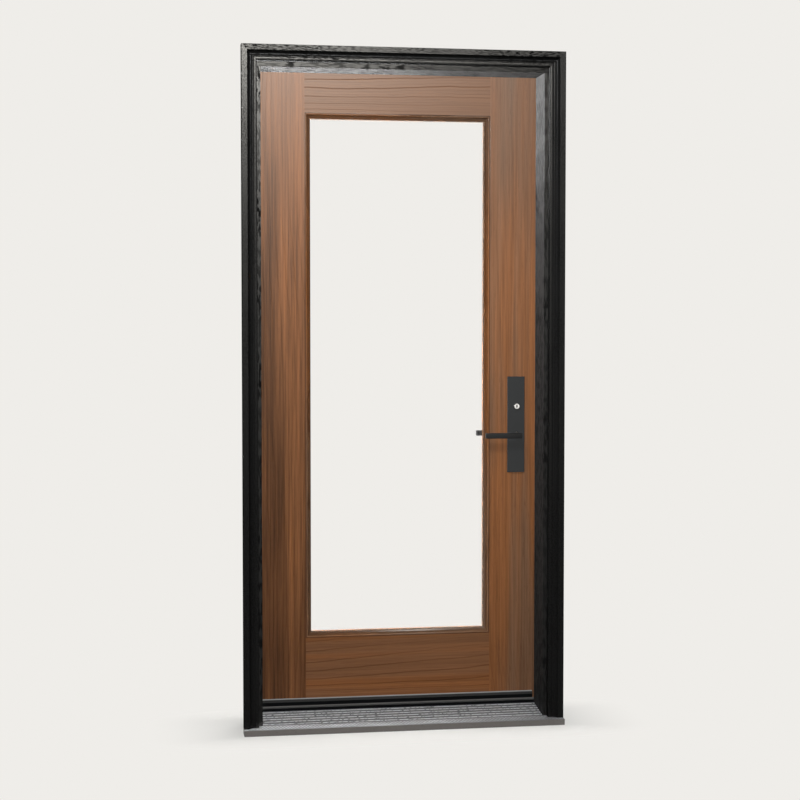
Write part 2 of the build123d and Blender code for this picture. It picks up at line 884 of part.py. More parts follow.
def build():
    """Every piece by its name."""
    bottom, middle, top = hinge_heights()
    return {
        "jamb_hinge_side": jamb_hinge_side(),
        "jamb_lock_side": jamb_lock_side(),
        "jamb_head": jamb_head(),
        "brickmould_left": brickmould_side(-1),
        "brickmould_right": brickmould_side(1),
        "brickmould_head": brickmould_head(),
        "weatherstrip_hinge_side": weatherstrip_side(-1),
        "weatherstrip_lock_side": weatherstrip_side(1),
        "weatherstrip_head": weatherstrip_head(),
        "sill_base": sill_base(),
        "sill_deck": sill_deck(),
        "threshold_cap": threshold_cap(),
        "strike_plate": strike_plate(),
        "hinge_bottom_frame_leaf": frame_leaf(bottom),
        "hinge_middle_frame_leaf": frame_leaf(middle),
        "hinge_top_frame_leaf": frame_leaf(top),
        "hinge_bottom_door_leaf": door_leaf(bottom),
        "hinge_middle_door_leaf": door_leaf(middle),
        "hinge_top_door_leaf": door_leaf(top),
        "skin_exterior": skin_exterior(),
        "skin_interior": skin_interior(),
        "stile_hinge": stile_hinge(),
        "stile_lock": stile_lock(),
        "rail_top": rail_top(),
        "rail_bottom": rail_bottom(),
        "door_core": door_core(),
        "glazing_frame_exterior": glazing_frame_exterior(),
        "glazing_frame_interior": glazing_frame_interior(),
        "glass_exterior": glass_exterior(),
        "glass_interior": glass_interior(),
        "glass_spacer": glass_spacer(),
        "escutcheon_exterior": escutcheon_exterior(),
        "escutcheon_interior": escutcheon_interior(),
        "lever_exterior": lever_exterior(),
        "lever_interior": lever_interior(),
        "spindle": spindle(),
        "lock_cylinder": lock_cylinder(),
        "key_plug": key_plug(),
        "thumbturn": thumbturn(),
        "lock_faceplate": lock_faceplate(),
        "drip_cap": drip_cap(),
        "door_sweep": door_sweep(),
    }


os.makedirs("parts", exist_ok=True)
for name, shape in build().items():
    export_step(shape, "parts/" + name + ".step")
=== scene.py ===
"""Looks of a prehung fiberglass entrance door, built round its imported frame.

Metres. +Z up, +X to the right as seen from outside, +Y into the house.
"""

import logging
import math
from dataclasses import dataclass
from enum import Enum
from typing import Union

import bpy
import numpy as np
from bpy.types import Material, Node, NodeSocket, World
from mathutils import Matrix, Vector


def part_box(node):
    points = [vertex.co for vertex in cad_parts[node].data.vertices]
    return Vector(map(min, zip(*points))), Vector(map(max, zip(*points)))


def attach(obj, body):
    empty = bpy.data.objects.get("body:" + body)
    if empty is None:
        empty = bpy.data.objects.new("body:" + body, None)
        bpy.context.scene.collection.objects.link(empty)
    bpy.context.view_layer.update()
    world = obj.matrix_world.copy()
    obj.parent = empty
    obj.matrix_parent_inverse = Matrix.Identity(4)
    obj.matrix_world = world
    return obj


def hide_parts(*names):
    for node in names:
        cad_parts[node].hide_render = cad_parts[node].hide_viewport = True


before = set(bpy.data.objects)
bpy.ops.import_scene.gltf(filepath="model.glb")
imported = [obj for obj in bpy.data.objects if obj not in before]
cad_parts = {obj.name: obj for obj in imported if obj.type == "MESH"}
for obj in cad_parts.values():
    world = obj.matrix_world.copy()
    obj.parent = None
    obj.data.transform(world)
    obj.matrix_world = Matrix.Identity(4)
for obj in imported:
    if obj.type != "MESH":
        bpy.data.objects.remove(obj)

logging.basicConfig(level=logging.INFO, format="%(message)s")
log = logging.getLogger("door")

Colour = tuple[float, float, float]
Point = tuple[float, float, float]
Operand = Union["Value", float]

# A distance that no point of the door reaches
FAR = 9.0
HINGES = ("bottom", "middle", "top")


# Shader maths


class Value:
    """A number that changes over a surface: one output socket, with arithmetic that adds Math nodes."""

    def __init__(self, tree: "Tree", socket: NodeSocket) -> None:
        """Keep the tree and the socket."""
        self.tree = tree
        self.socket = socket

    def math(self, operation: str, *others: Operand) -> "Value":
        """Add one Math node with this value as its first input and the others as the further ones."""
        return self.tree.math(operation, self, *others)

    def __add__(self, other: Operand) -> "Value":
        """Sum."""
        return self.math("ADD", other)

    __radd__ = __add__

    def __mul__(self, other: Operand) -> "Value":
        """Product."""
        return self.math("MULTIPLY", other)

    __rmul__ = __mul__

    def __sub__(self, other: Operand) -> "Value":
        """Difference."""
        return self.math("SUBTRACT", other)

    def __rsub__(self, other: float) -> "Value":
        """Difference, with the number first."""
        return self.tree.math("SUBTRACT", other, self)

    def __truediv__(self, other: Operand) -> "Value":
        """Quotient."""
        return self.math("DIVIDE", other)

    def __pow__(self, other: Operand) -> "Value":
        """Power."""
        return self.math("POWER", other)

    def __neg__(self) -> "Value":
        """Negative."""
        return self.math("MULTIPLY", -1.0)

    def __gt__(self, other: Operand) -> "Value":
        """1 where this is more than the other, else 0."""
        return self.math("GREATER_THAN", other)

    def size(self) -> "Value":
        """Absolute value."""
        return self.math("ABSOLUTE")

    def fraction(self) -> "Value":
        """What is left above the next whole number down."""
        return self.math("FRACT")

    def least(self, other: Operand) -> "Value":
        """The smaller of the two."""
        return self.math("MINIMUM", other)

    def most(self, other: Operand) -> "Value":
        """The larger of the two."""
        return self.math("MAXIMUM", other)

    def ramp(self, low: float, high: float) -> "Value":
        """Smooth step from 0 at low to 1 at high, or from 1 to 0 where high is below low.

        Args:
            low: the value that gives 0.
            high: the value that gives 1.

        Returns:
            The stepped value, kept between 0 and 1.
        """
        settings = {"interpolation_type": "SMOOTHSTEP", "clamp": True}
        node = self.tree.node("ShaderNodeMapRange", settings, Value=self, From_Min=min(low, high),
                              From_Max=max(low, high))
        risen = Value(self.tree, node.outputs[0])
        return risen if high > low else 1.0 - risen

    def towards(self, other: Operand, share: Operand) -> "Value":
        """This value, moved a share of the way to the other."""
        return self + (other - self) * share


class Tree:
    """The node tree of one material or world."""

    def __init__(self, owner: Union[Material, World]) -> None:
        """Empty the owner's node tree.

        Args:
            owner: the material or world.
        """
        owner.use_nodes = True
        self.nodes = owner.node_tree.nodes
        self.links = owner.node_tree.links
        self.nodes.clear()

    def node(self, kind: str, settings: dict, **inputs: object) -> Node:
        """Add a node: its settings first, then its inputs.

        Args:
            kind: the node's type name.
            settings: properties to set before any input.
            inputs: value or link of each input by its name, with _ for a space, or in0, in1 and so on.

        Returns:
            The node.
        """
        made = self.nodes.new(kind)
        for key, setting in settings.items():
            setattr(made, key, setting)
        for key, given in inputs.items():
            place = int(key[2:]) if key[:2] == "in" and key[2:].isdigit() else key.replace("_", " ")
            self.feed(made.inputs[place], given)
        return made

    def feed(self, socket: NodeSocket, given: object) -> None:
        """Link or set one input socket.

        Args:
            socket: the input.
            given: a value, an output socket, a number or a tuple.
        """
        if isinstance(given, Value):
            given = given.socket
        if isinstance(given, NodeSocket):
            self.links.new(given, socket)
        elif isinstance(given, tuple) and len(given) == 3 and socket.type == "RGBA":
            socket.default_value = (*given, 1.0)
        else:
            socket.default_value = given

    def math(self, operation: str, *given: Operand) -> Value:
        """Add one Math node with the given inputs."""
        inputs = {f"in{place}": each for place, each in enumerate(given)}
        return Value(self, self.node("ShaderNodeMath", {"operation": operation}, **inputs).outputs[0])

    def axes(self, kind: str, output: str) -> tuple[Value, Value, Value]:
        """Add a node and split its vector.

        Args:
            kind: the node's type name.
            output: the name of its output.

        Returns:
            The vector's X, Y and Z.
        """
        parts = self.node("ShaderNodeSeparateXYZ", {}, Vector=self.node(kind, {}).outputs[output])
        return tuple(Value(self, parts.outputs[axis]) for axis in "XYZ")

    def place(self) -> tuple[Value, Value, Value]:
        """Object coordinates X, Y and Z in metres."""
        return self.axes("ShaderNodeTexCoord", "Object")

    def noise(self, x: Operand, y: Operand, z: Operand, detail: float = 2.0, roughness: float = 0.6) -> Value:
        """Noise from 0 to 1 at a point.

        Args:
            x: first coordinate, in cells of the noise.
            y: second coordinate.
            z: third coordinate.
            detail: octaves.
            roughness: how strong each finer octave is.

        Returns:
            The noise.
        """
        point = self.node("ShaderNodeCombineXYZ", {}, X=x, Y=y, Z=z).outputs[0]
        node = self.node("ShaderNodeTexNoise", {}, Vector=point, Scale=1.0, Detail=detail,
                         Roughness=roughness)
        return Value(self, node.outputs[0])

    def even(self, cells: float, detail: float = 2.0, roughness: float = 0.6) -> Value:
        """Noise that is alike in all directions, with so many cells in a metre."""
        x, y, z = self.place()
        return self.noise(x * cells, y * cells, z * cells, detail, roughness)

    def blend(self, share: Operand, first: object, second: object) -> NodeSocket:
        """Mix two colours.

        Args:
            share: 0 for the first, 1 for the second.
            first: colour or socket.
            second: colour or socket.

        Returns:
            The mixed colour's socket.
        """
        mixed = self.node("ShaderNodeMix", {"data_type": "RGBA"}, in0=share, in6=first, in7=second)
        return mixed.outputs[2]

    def shade(self, colour: object, factor: Value) -> NodeSocket:
        """A colour with all its parts multiplied by one value.

        Args:
            colour: colour or socket.
            factor: the multiplier.

        Returns:
            The colour's socket.
        """
        triple = self.node("ShaderNodeCombineXYZ", {}, X=factor, Y=factor, Z=factor)
        node = self.node("ShaderNodeVectorMath", {"operation": "MULTIPLY"}, in0=colour, in1=triple.outputs[0])
        return node.outputs[0]

    def bump(self, height: Value, distance: float) -> NodeSocket:
        """A normal bumped by a height from 0 to 1, where 1 is the distance in metres."""
        return self.node("ShaderNodeBump", {}, Height=height, Distance=distance, Strength=1.0).outputs[0]

    def surface(self, **inputs: object) -> None:
        """A Principled shader wired to the output; its inputs are named with _ for a space."""
        shader = self.node("ShaderNodeBsdfPrincipled", {}, **inputs)
        self.node("ShaderNodeOutputMaterial", {}, Surface=shader.outputs[0])


class Run(Enum):
    """Which way a pattern runs on a piece."""

    UPRIGHT = "along Z"
    LEVEL = "along X"
    ITS_OWN = "along the piece's own UV map"
    FRAMED = "along Z on the stiles and along X between them"


def run_of(tree: Tree, run: Run, stile_line: float = 0.0) -> tuple[Value, Value, Operand]:
    """Coordinates along and across a pattern.

    Args:
        tree: the material's tree.
        run: which way the pattern runs.
        stile_line: distance from the middle to the joint of stile and rail, for FRAMED.

    Returns:
        Metres along, metres across, and a third coordinate that keeps faces and members apart.
    """
    offset = 3.7
    if run is Run.ITS_OWN:
        along, across, _ = tree.axes("ShaderNodeTexCoord", "UV")
        return along, across, offset
    x, y, z = tree.place()
    if run is Run.UPRIGHT:
        return z, x + y, y + offset
    if run is Run.LEVEL:
        return x, z + y, y + offset
    stile = x.size() > stile_line
    member = ((z > 1.0) * 3.0).towards(2.0 + (x > 0.0) * 5.0, stile)
    return (x * 0.5).towards(z, stile), z.towards(x, stile), y * 4.0 + member


# The sill's top


@dataclass(frozen=True)
class SillTop:
    """The sill's top in section: the nose and the deck, two straight slopes that meet at the nose line."""

    front: float = -0.05
    front_height: float = 0.018
    nose_line: float = -0.00475
    line_height: float = 0.0205
    nose_slope: float = 0.0025 / 0.04525
    deck_slope: float = 0.0172 / 0.12065

    def nose(self, y: Union[np.ndarray, Value]) -> Union[np.ndarray, Value]:
        """Height of the nose's slope at y."""
        return (y - self.front) * self.nose_slope + self.front_height

    def deck(self, y: Union[np.ndarray, Value]) -> Union[np.ndarray, Value]:
        """Height of the deck's slope at y."""
        return (y - self.nose_line) * self.deck_slope + self.line_height


SILL = SillTop()


# Finishes


@dataclass(frozen=True)
class Finish:
    """A material by its name; each kind of finish paints its own shader."""

    name: str

    def make(self) -> Material:
        """Make the material and paint it.

        Returns:
            The material.
        """
        material = bpy.data.materials.new(self.name)
        self.paint(Tree(material))
        return material

    def paint(self, tree: Tree) -> None:
        """Wire the shader in the material's tree."""
        raise NotImplementedError(self.name)


@dataclass(frozen=True)
class StainedGrain(Finish):
    """Stained wood-grain fiberglass: growth lines, fine streaks and short pores."""

    run: Run
    stile_line: float = 0.0
    body: Colour = (0.234, 0.119, 0.063)
    ruddy: Colour = (0.242, 0.093, 0.032)
    line: Colour = (0.09, 0.034, 0.014)
    lines_per_metre: float = 44.0
    sweep: float = 20.0
    roughness: float = 0.5
    polish: float = 0.057
    spread: float = 0.26
    streaks: float = 170.0
    pores: float = 520.0
    relief: float = 0.0006
    painted_shade_strips: tuple[tuple[float, float, float], ...] = ()
    soft_edge: float = 0.0003

    def paint(self, tree: Tree) -> None:
        """Growth lines are the level lines of f = across x lines_per_metre + sweep x slow noise.

        Where the noise climbs against the first term, the levels close into arches. A line is a thin pressed
        groove where the part of f above a whole number is near one half; fainter ones lie between, at 3 f.
        On a framed piece the stiles have fainter lines and stronger streaks than the rails, most of all the
        hinge stile, which also darkens towards its foot as painted shade. Each painted shade strip runs
        across the piece, from and to in metres, with the light left in it.

        Args:
            tree: the material's tree.
        """
        along, across, apart = run_of(tree, self.run, self.stile_line)
        calm, figure, foot, redder = 1.0, 1.4, 0.0, 0.0
        if self.run is Run.FRAMED:
            x, _, z = tree.place()
            hinge_stile = -x > self.stile_line
            stile = x.size() > self.stile_line
            calm = 1.0 - stile * 0.5
            figure = (1.1 + stile * 0.6 + hinge_stile * 1.2) * (1.0 - z.ramp(1.5, 2.1) * 0.45)
            # Painted shade: the hinge stile is painted darker towards its foot.
            foot = hinge_stile * z.ramp(0.8, 0.1)
            redder = hinge_stile * 0.9 + (1.0 - stile) * 0.55
        slow = tree.noise(across * 2.6, along * 0.42, apart, 1.0, 0.4)
        wave = tree.noise(across * 11.0, along * 3.2, apart + 4.0, 1.5, 0.5)
        wiggle = tree.noise(across * 16.0, along * 26.0, apart + 9.0, 1.0, 0.5)
        level = across * self.lines_per_metre + slow * self.sweep + wave * 1.1 + wiggle * 0.22
        strength = tree.noise(across * 6.0, along * 1.6, apart + 17.0, 1.0, 0.5).ramp(0.3, 0.62)
        main = (level.fraction() - 0.5).size().ramp(0.1, 0.0) * (0.3 + strength * 0.7)
        between = ((level * 3.0).fraction() - 0.5).size().ramp(0.16, 0.0) * (0.35 - strength * 0.2)
        groove = main.most(between) * calm
        streak = tree.noise(across * self.streaks, along * 3.0, apart, 3.0)
        band = tree.noise(across * 15.0, along * 0.8, apart + 30.0, 2.0, 0.5)
        pore = tree.noise(across * self.pores, along * 26.0, apart, 1.0, 0.5).ramp(0.6, 0.72)
        tone = tree.blend(band.ramp(0.38, 0.64).most(redder), self.body, self.ruddy)
        tone = tree.blend((groove * 0.5).most(pore * 0.25), tone, self.line)
        light = (1.0 + (streak - 0.5) * figure * 0.75) * (1.0 + (band - 0.5) * figure * 0.62)
        # Painted shade at the hinge stile's foot.
        light = light * (1.0 - foot * 0.2)
        # Painted shade: each strip darkens the stain across the piece.
        for start, end, left in self.painted_shade_strips:
            strip = across.ramp(start - self.soft_edge, start + self.soft_edge)
            strip = strip * across.ramp(end + self.soft_edge, end - self.soft_edge)
            light = light * (1.0 - strip * (1.0 - left))
        height = 0.8 - groove * 0.7 - pore * 0.12 + streak * 0.06
        tree.surface(
            Base_Color=tree.shade(tone, light),
            Roughness=self.roughness + groove * 0.1 + (streak - 0.5) * 0.1,
            Normal=tree.bump(height, self.relief),
            Specular_IOR_Level=0.0,
            Coat_Weight=self.polish - groove * self.polish * 0.95,
            Coat_Roughness=self.spread,
        )


@dataclass(frozen=True)
class EmbossedBlack(Finish):
    """Black composite embossed with a coarse oak grain, which shows where the light glances off it."""

    run: Run
    ground: Colour = (0.0075, 0.0075, 0.0074)
    groove: Colour = (0.0045, 0.0045, 0.0045)
    roughness: float = 0.6
    polish: float = 0.055
    spread: float = 0.26
    strokes: float = 50.0
    pebbles: float = 250.0
    specks: float = 620.0
    grazing: tuple[float, float] = (0.91, 0.865)
    gloss: float = 0.0
    dulled: float = 0.95
    relief: float = 0.0001

    def paint(self, tree: Tree) -> None:
        """Strokes are noise stretched along the run and cut at a level, so that they come short and wavy.

        The polish lies on the ground between them and is gone inside them. It also ends where the face is
        seen almost edge-on, because the strokes' rims hide the ground there.

        Args:
            tree: the material's tree.
        """
        along, across, apart = run_of(tree, self.run)
        drift = tree.noise(across * 22.0, along * 12.0, apart, 1.0, 0.5) - 0.5
        bent = across + drift * 0.007
        stroke = tree.noise(bent * self.pebbles, along * self.strokes, apart * 3.0).ramp(0.48, 0.54)
        fine = tree.noise(bent * self.specks, along * 70.0, apart)
        patch = tree.noise(across * 16.0, along * 5.0, apart + 6.0, 1.0, 0.5).ramp(0.34, 0.62)
        cut = stroke * (0.55 + patch * 0.45)
        facing = Value(tree, tree.node("ShaderNodeLayerWeight", {}, Blend=0.5).outputs["Facing"])
        tree.surface(
            Base_Color=tree.blend(cut, self.ground, self.groove),
            Roughness=self.roughness + cut * 0.3 + (fine - 0.5) * 0.2,
            Normal=tree.bump(1.0 - cut * 0.75 + fine * 0.16, self.relief),
            Specular_IOR_Level=self.gloss,
            Coat_Weight=(1.0 - cut * self.dulled) * facing.ramp(*self.grazing) * self.polish,
            Coat_Roughness=self.spread,
        )


@dataclass(frozen=True)
class MillMetal(Finish):
    """The sill's extruded aluminium: fine drawn lines along X and a mottled dull skin."""

    colour: Colour
    roughness: float
    metal: float
    rubbed_highlight: Colour = (0.72, 0.73, 0.75)
    dull: Colour = (0.125, 0.112, 0.104)
    drawn_lines: float = 900.0
    rubbed_highlight_above: tuple[float, float] = (0.0003, 0.0008)
    nose_from: tuple[float, float] = (-0.004, -0.006)
    front_from: tuple[float, float] = (-0.0492, -0.0498)
    relief: float = 0.00006

    def paint(self, tree: Tree) -> None:
        """Drawn lines are noise stretched 180-fold along the run.

        What stands proud of the sill's two slopes is painted bright, as wear and as a painted highlight on
        the ridges, with breaks by noise, and much less so on the nose than on the deck. The front face is
        dull.

        Args:
            tree: the material's tree.
        """
        along, across, apart = run_of(tree, Run.LEVEL)
        drawn = tree.noise(across * self.drawn_lines, along * 5.0, apart * 40.0)
        mottle = tree.noise(across * 60.0, along * 35.0, apart * 9.0, 3.0)
        worn = tree.noise(across * 220.0, along * 120.0, apart).ramp(0.6, 0.72)
        light = 0.82 + drawn * 0.2 + mottle * 0.16 - worn * 0.12
        x, y, z = tree.place()
        # Painted highlight and wear: what stands proud of the slopes is painted bright.
        proud = (z - SILL.nose(y).most(SILL.deck(y))).ramp(*self.rubbed_highlight_above)
        breaks = tree.noise(x * 90.0, y * 240.0, 2.0).ramp(0.34, 0.52)
        on_nose = y.ramp(*self.nose_from)
        front = y.ramp(*self.front_from)
        colour = tree.blend(proud * breaks * (1.0 - on_nose * 0.8), self.colour, self.rubbed_highlight)
        tree.surface(
            Base_Color=tree.shade(tree.blend(front, colour, self.dull), light),
            Metallic=self.metal * (1.0 - front),
            Roughness=self.roughness + front * 0.35 + (mottle - 0.5) * 0.2 + (drawn - 0.5) * 0.14,
            Normal=tree.bump(drawn + mottle * 0.3, self.relief),
            Specular_IOR_Level=0.12,
        )


@dataclass(frozen=True)
class PowderCoat(Finish):
    """Matt powder coat with a fine orange-peel skin, and painted top light if wanted."""

    colour: Colour
    roughness: float
    gloss: float
    grain: float = 1100.0
    relief: float = 0.00005
    painted_top_light: float = 0.0
    painted_top_light_colour: Colour = (0.34, 0.34, 0.33)
    rim: float = FAR

    def paint(self, tree: Tree) -> None:
        """The skin is fine noise in all directions; slow noise dulls it in patches.

        Painted top light: pale paint on upward faces, and from just under the rim's height a solid painted
        highlight.

        Args:
            tree: the material's tree.
        """
        skin = tree.even(self.grain)
        patch = tree.even(18.0, 3.0)
        colour = self.colour
        if self.painted_top_light:
            x, y, z = tree.place()
            _, _, up = tree.axes("ShaderNodeNewGeometry", "Normal")
            # Painted light: pale paint on faces that look up, patchy by noise.
            top_light_mask = up.ramp(0.35, 0.9) * (0.7 + tree.noise(x * 12.0, y * 300.0, z * 300.0) * 0.6)
            # Painted highlight along the top edge, just under the rim.
            rim_highlight = z.ramp(self.rim - 0.004, self.rim - 0.002)
            colour = tree.blend((top_light_mask * self.painted_top_light).most(rim_highlight), colour, self.painted_top_light_colour)
        tree.surface(
            Base_Color=tree.shade(colour, 0.8 + skin * 0.16 + patch * 0.26),
            Roughness=self.roughness + (patch - 0.5) * 0.18 + (skin - 0.5) * 0.1,
            Normal=tree.bump(skin, self.relief),
            Specular_IOR_Level=self.gloss,
        )


@dataclass(frozen=True)
class TurnedMetal(Finish):
    """Satin plated metal with faint rings from turning."""

    colour: Colour
    roughness: float
    centre: tuple[float, float] = (0.0, 0.0)
    face: float = FAR
    rim: float = FAR
    keyway_shade_half: tuple[float, float] = (0.0023, 0.0058)
    rings: float = 2600.0
    relief: float = 0.00002

    def paint(self, tree: Tree) -> None:
        """Rings are noise along the distance from the axis in the XZ plane.

        Painted shade darkens it behind the face, in an upright oval round the keyway and at the cylinder's
        rim.

        Args:
            tree: the material's tree.
        """
        x, y, z = tree.place()
        dx, dz = x - self.centre[0], z - self.centre[1]
        radius = (dx * dx + dz * dz) ** 0.5
        rings = tree.noise(radius * self.rings, y * 900.0, 0.0)
        smudge = tree.even(120.0, 3.0)
        # Painted shade: dark round the keyway, behind the face and at the rim.
        keyway_shade_oval = ((dx / self.keyway_shade_half[0]) ** 2.0 + (dz / self.keyway_shade_half[1]) ** 2.0).ramp(1.1, 0.8)
        slot = keyway_shade_oval * y.ramp(self.face - 0.0002, self.face)
        behind = y.ramp(self.face + 0.0002, self.face + 0.0012)
        rim = radius.ramp(self.rim - 0.0005, self.rim + 0.0005) * 0.7
        open_to_light = 1.0 - slot.most(behind).most(rim) * 0.93
        tree.surface(
            Base_Color=tree.shade(self.colour, (0.9 + smudge * 0.2) * open_to_light),
            Metallic=1.0,
            Roughness=self.roughness + (smudge - 0.5) * 0.14 + (rings - 0.5) * 0.12,
            Normal=tree.bump(rings, self.relief),
        )


@dataclass(frozen=True)
class SawnWood(Finish):
    """Unfinished laminated edge wood."""

    run: Run
    light: Colour = (0.52, 0.36, 0.21)
    dark: Colour = (0.33, 0.2, 0.1)
    laminations: float = 80.0
    fibres: float = 260.0
    relief: float = 0.0002

    def paint(self, tree: Tree) -> None:
        """Straight grain, and a glue line at each of the laminations, which are counted per metre across.

        Args:
            tree: the material's tree.
        """
        along, across, apart = run_of(tree, self.run)
        grain = tree.noise(across * self.fibres, along * 5.0, apart * 20.0, 4.0)
        glue = (across * self.laminations).fraction().ramp(0.05, 0.0)
        tone = tree.blend(grain.ramp(0.38, 0.66), self.light, self.dark)
        tree.surface(
            Base_Color=tree.blend(glue * 0.6, tone, self.dark),
            Roughness=0.62 + (grain - 0.5) * 0.2,
            Normal=tree.bump(grain, self.relief),
            Specular_IOR_Level=0.3,
        )


@dataclass(frozen=True)
class Moulded(Finish):
    """Soft or moulded matter with a pitted skin: seal, foam or composite."""

    colour: Colour
    roughness: float
    pits: float
    depth: float
    gloss: float = 0.25

    def paint(self, tree: Tree) -> None:
        """Pits are noise in all directions, so many in a metre.

        Args:
            tree: the material's tree.
        """
        pits = tree.even(self.pits, 3.0)
        patch = tree.even(25.0, 2.0, 0.5)
        tree.surface(
            Base_Color=tree.shade(self.colour, 0.75 + pits * 0.25 + patch * 0.25),
            Roughness=self.roughness + (pits - 0.5) * 0.2,
            Normal=tree.bump(pits, self.depth),
            Specular_IOR_Level=self.gloss,
        )


@dataclass(frozen=True)
class ClearGlass(Finish):
    """Clear float glass."""

    def paint(self, tree: Tree) -> None:
        """A smooth transmitting shader with a weak mirror image, as coated glass has."""
        tree.surface(Base_Color=(1.0, 1.0, 1.0), Transmission_Weight=1.0, Roughness=0.0, IOR=1.45,
                     Specular_IOR_Level=0.2)


@dataclass(frozen=True)
class PaleFloor(Finish):
    """The backdrop's colour as plain emission, part diffuse near the sill: a painted shadow with the real one
    in it.
    """

    colour: Colour
    lit: Colour = (0.8, 0.8, 0.78)
    lit_in_bounces: Colour = (0.4, 0.4, 0.39)
    most_diffuse: float = 0.75
    half_width: float = 0.5
    depth_middle: float = 0.06
    half_depth: float = 0.11
    reach_beside: float = 0.3
    reach_before: float = 0.16
    fall: float = 1.8

    def paint(self, tree: Tree) -> None:
        """The diffuse share falls off with the distance from the sill's outline, more slowly along X, as a
        painted shadow.

        Args:
            tree: the material's tree.
        """
        x, y, _ = tree.place()
        beside = (x.size() - self.half_width).most(0.0) / self.reach_beside
        before = ((y - self.depth_middle).size() - self.half_depth).most(0.0) / self.reach_before
        away = ((beside * beside + before * before) ** 0.5).least(1.0)
        share = (1.0 - away) ** self.fall * self.most_diffuse
        bounced = Value(tree, tree.node("ShaderNodeLightPath", {}).outputs["Is Diffuse Ray"])
        shown = tree.node("ShaderNodeEmission", {}, Color=self.colour, Strength=1.0)
        lit = tree.node("ShaderNodeBsdfDiffuse", {}, Color=tree.blend(bounced, self.lit, self.lit_in_bounces))
        mixed = tree.node("ShaderNodeMixShader", {}, in0=share.most(bounced), in1=shown.outputs[0],
                          in2=lit.outputs[0])
        tree.node("ShaderNodeOutputMaterial", {}, Surface=mixed.outputs[0])


# Mesh


@dataclass
class Piece:
    """One new object: its mesh as arrays of points and of faces."""

    name: str
    points: np.ndarray
    faces: list
    uv: Union[np.ndarray, None] = None
    smooth_below: float = 35.0

    def place(self, body: str, slot: str, material: Material, *replaced: str) -> None:
        """Make the object, dress it and set it on its body.

        Args:
            body: the CAD body that it rides on.
            slot: the record's material slot; not used.
            material: its finish.
            replaced: CAD nodes that it stands for.
        """
        mesh = bpy.data.meshes.new(self.name)
        mesh.from_pydata(self.points.tolist(), [], self.faces)
        if self.uv is not None:
            layer = mesh.uv_layers.new(name="run")
            layer.data.foreach_set("uv", self.uv.astype(np.float32).ravel())
        mesh.materials.append(material)
        mesh.validate()
        mesh.polygons.foreach_set("use_smooth", np.ones(len(mesh.polygons), bool))
        mesh.set_sharp_from_angle(angle=math.radians(self.smooth_below))
        mesh.update()
        made = linked(self.name, mesh)
        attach(made, body)
        if replaced:
            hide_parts(*replaced)
        log.info("%s: %d points on %s", self.name, len(mesh.vertices), body)


def quads(rings: int, count: int, closed_path: bool = False) -> np.ndarray:
    """Quads (i, j), (i, j+1), (i+1, j+1), (i+1, j) between rings of points that close on themselves.

    Args:
        rings: how many rings.
        count: how many points in a ring.
        closed_path: whether the last ring joins the first.

    Returns:
        Array of quads by 4.
    """
    i = np.arange(rings if closed_path else rings - 1)[:, None]
    j = np.arange(count)[None, :]
    after, beside = (i + 1) % rings, (j + 1) % count
    corners = [i * count + j, i * count + beside, after * count + beside, after * count + j]
    return np.stack(corners, -1).reshape(-1, 4)


def loft(name: str, loops: np.ndarray, closed_path: bool = False, smooth_below: float = 35.0,
         uv: Union[np.ndarray, None] = None) -> Piece:
    """Skin over section loops; an open path gets a flat cap at each end.

    Args:
        name: the piece's name.
        loops: array of S stations by N section points by 3.
        closed_path: whether the last station joins the first.
        smooth_below: angle in degrees under which an edge is shaded smooth.
        uv: array of S (+1 where closed) stations by N+1 points by 2, the quads' corners in metres.

    Returns:
        The piece.
    """
    stations, count = loops.shape[:2]
    faces = quads(stations, count, closed_path).tolist()
    corners = None
    if uv is not None:
        corners = np.stack([uv[:-1, :-1], uv[:-1, 1:], uv[1:, 1:], uv[1:, :-1]], 2).reshape(-1, 2)
    if not closed_path:
        ring = np.arange(count)
        faces += [ring[::-1].tolist(), (ring + (stations - 1) * count).tolist()]
        if uv is not None:
            corners = np.concatenate([corners, uv[0, ring[::-1]], uv[stations - 1, ring]])
    return Piece(name, loops.reshape(-1, 3), faces, corners, smooth_below)


def arc(start: tuple[float, float], middle: tuple[float, float], end: tuple[float, float],
        count: int) -> np.ndarray:
    """Points on the circle through three points: centre plus radius times the cosine and sine of the angle.

    Args:
        start: first point.
        middle: a point between.
        end: last point.
        count: how many points.

    Returns:
        Array of count by 2.
    """
    a, b, c = (np.array(p, float) for p in (start, middle, end))
    rows = np.array([b - a, c - a])
    centre = np.linalg.solve(rows, 0.5 * (rows ** 2).sum(1) + rows @ a)
    angles = [math.atan2(*(p - centre)[::-1]) for p in (a, b, c)]
    turn = (angles[2] - angles[0]) % (2 * math.pi)
    if (angles[1] - angles[0]) % (2 * math.pi) > turn:
        turn -= 2 * math.pi
    t = angles[0] + turn * np.linspace(0, 1, count)
    return centre + np.linalg.norm(a - centre) * np.stack([np.cos(t), np.sin(t)], 1)


def joined(parts: list) -> np.ndarray:
    """The runs of a section's points as one array of N by 2."""
    return np.concatenate([np.array(part, float) for part in parts])


def lengths(section: np.ndarray) -> np.ndarray:
    """Distance along a closed section to each point, and once round to the first again: N + 1 distances."""
    ring = np.concatenate([section, section[:1]])
    return np.concatenate([[0.0], np.cumsum(np.linalg.norm(np.diff(ring, axis=0), axis=1))])


def around(sides: int) -> np.ndarray:
    """The angles of so many points round a full turn."""
    return np.linspace(0, 2 * np.pi, sides, endpoint=False)


def linked(name: str, data: bpy.types.ID) -> bpy.types.Object:
    """A new object with the given data, in the scene.

    Args:
        name: its name.
        data: a mesh, a lamp's data or a camera's data.

    Returns:
        The object.
    """
    made = bpy.data.objects.new(name, data)
    bpy.context.scene.collection.objects.link(made)
    return made


def centre_of(node: str) -> np.ndarray:
    """The middle of a CAD node's box."""
    low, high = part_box(node)
    return (np.array(low) + np.array(high)) / 2


# Sub-assemblies


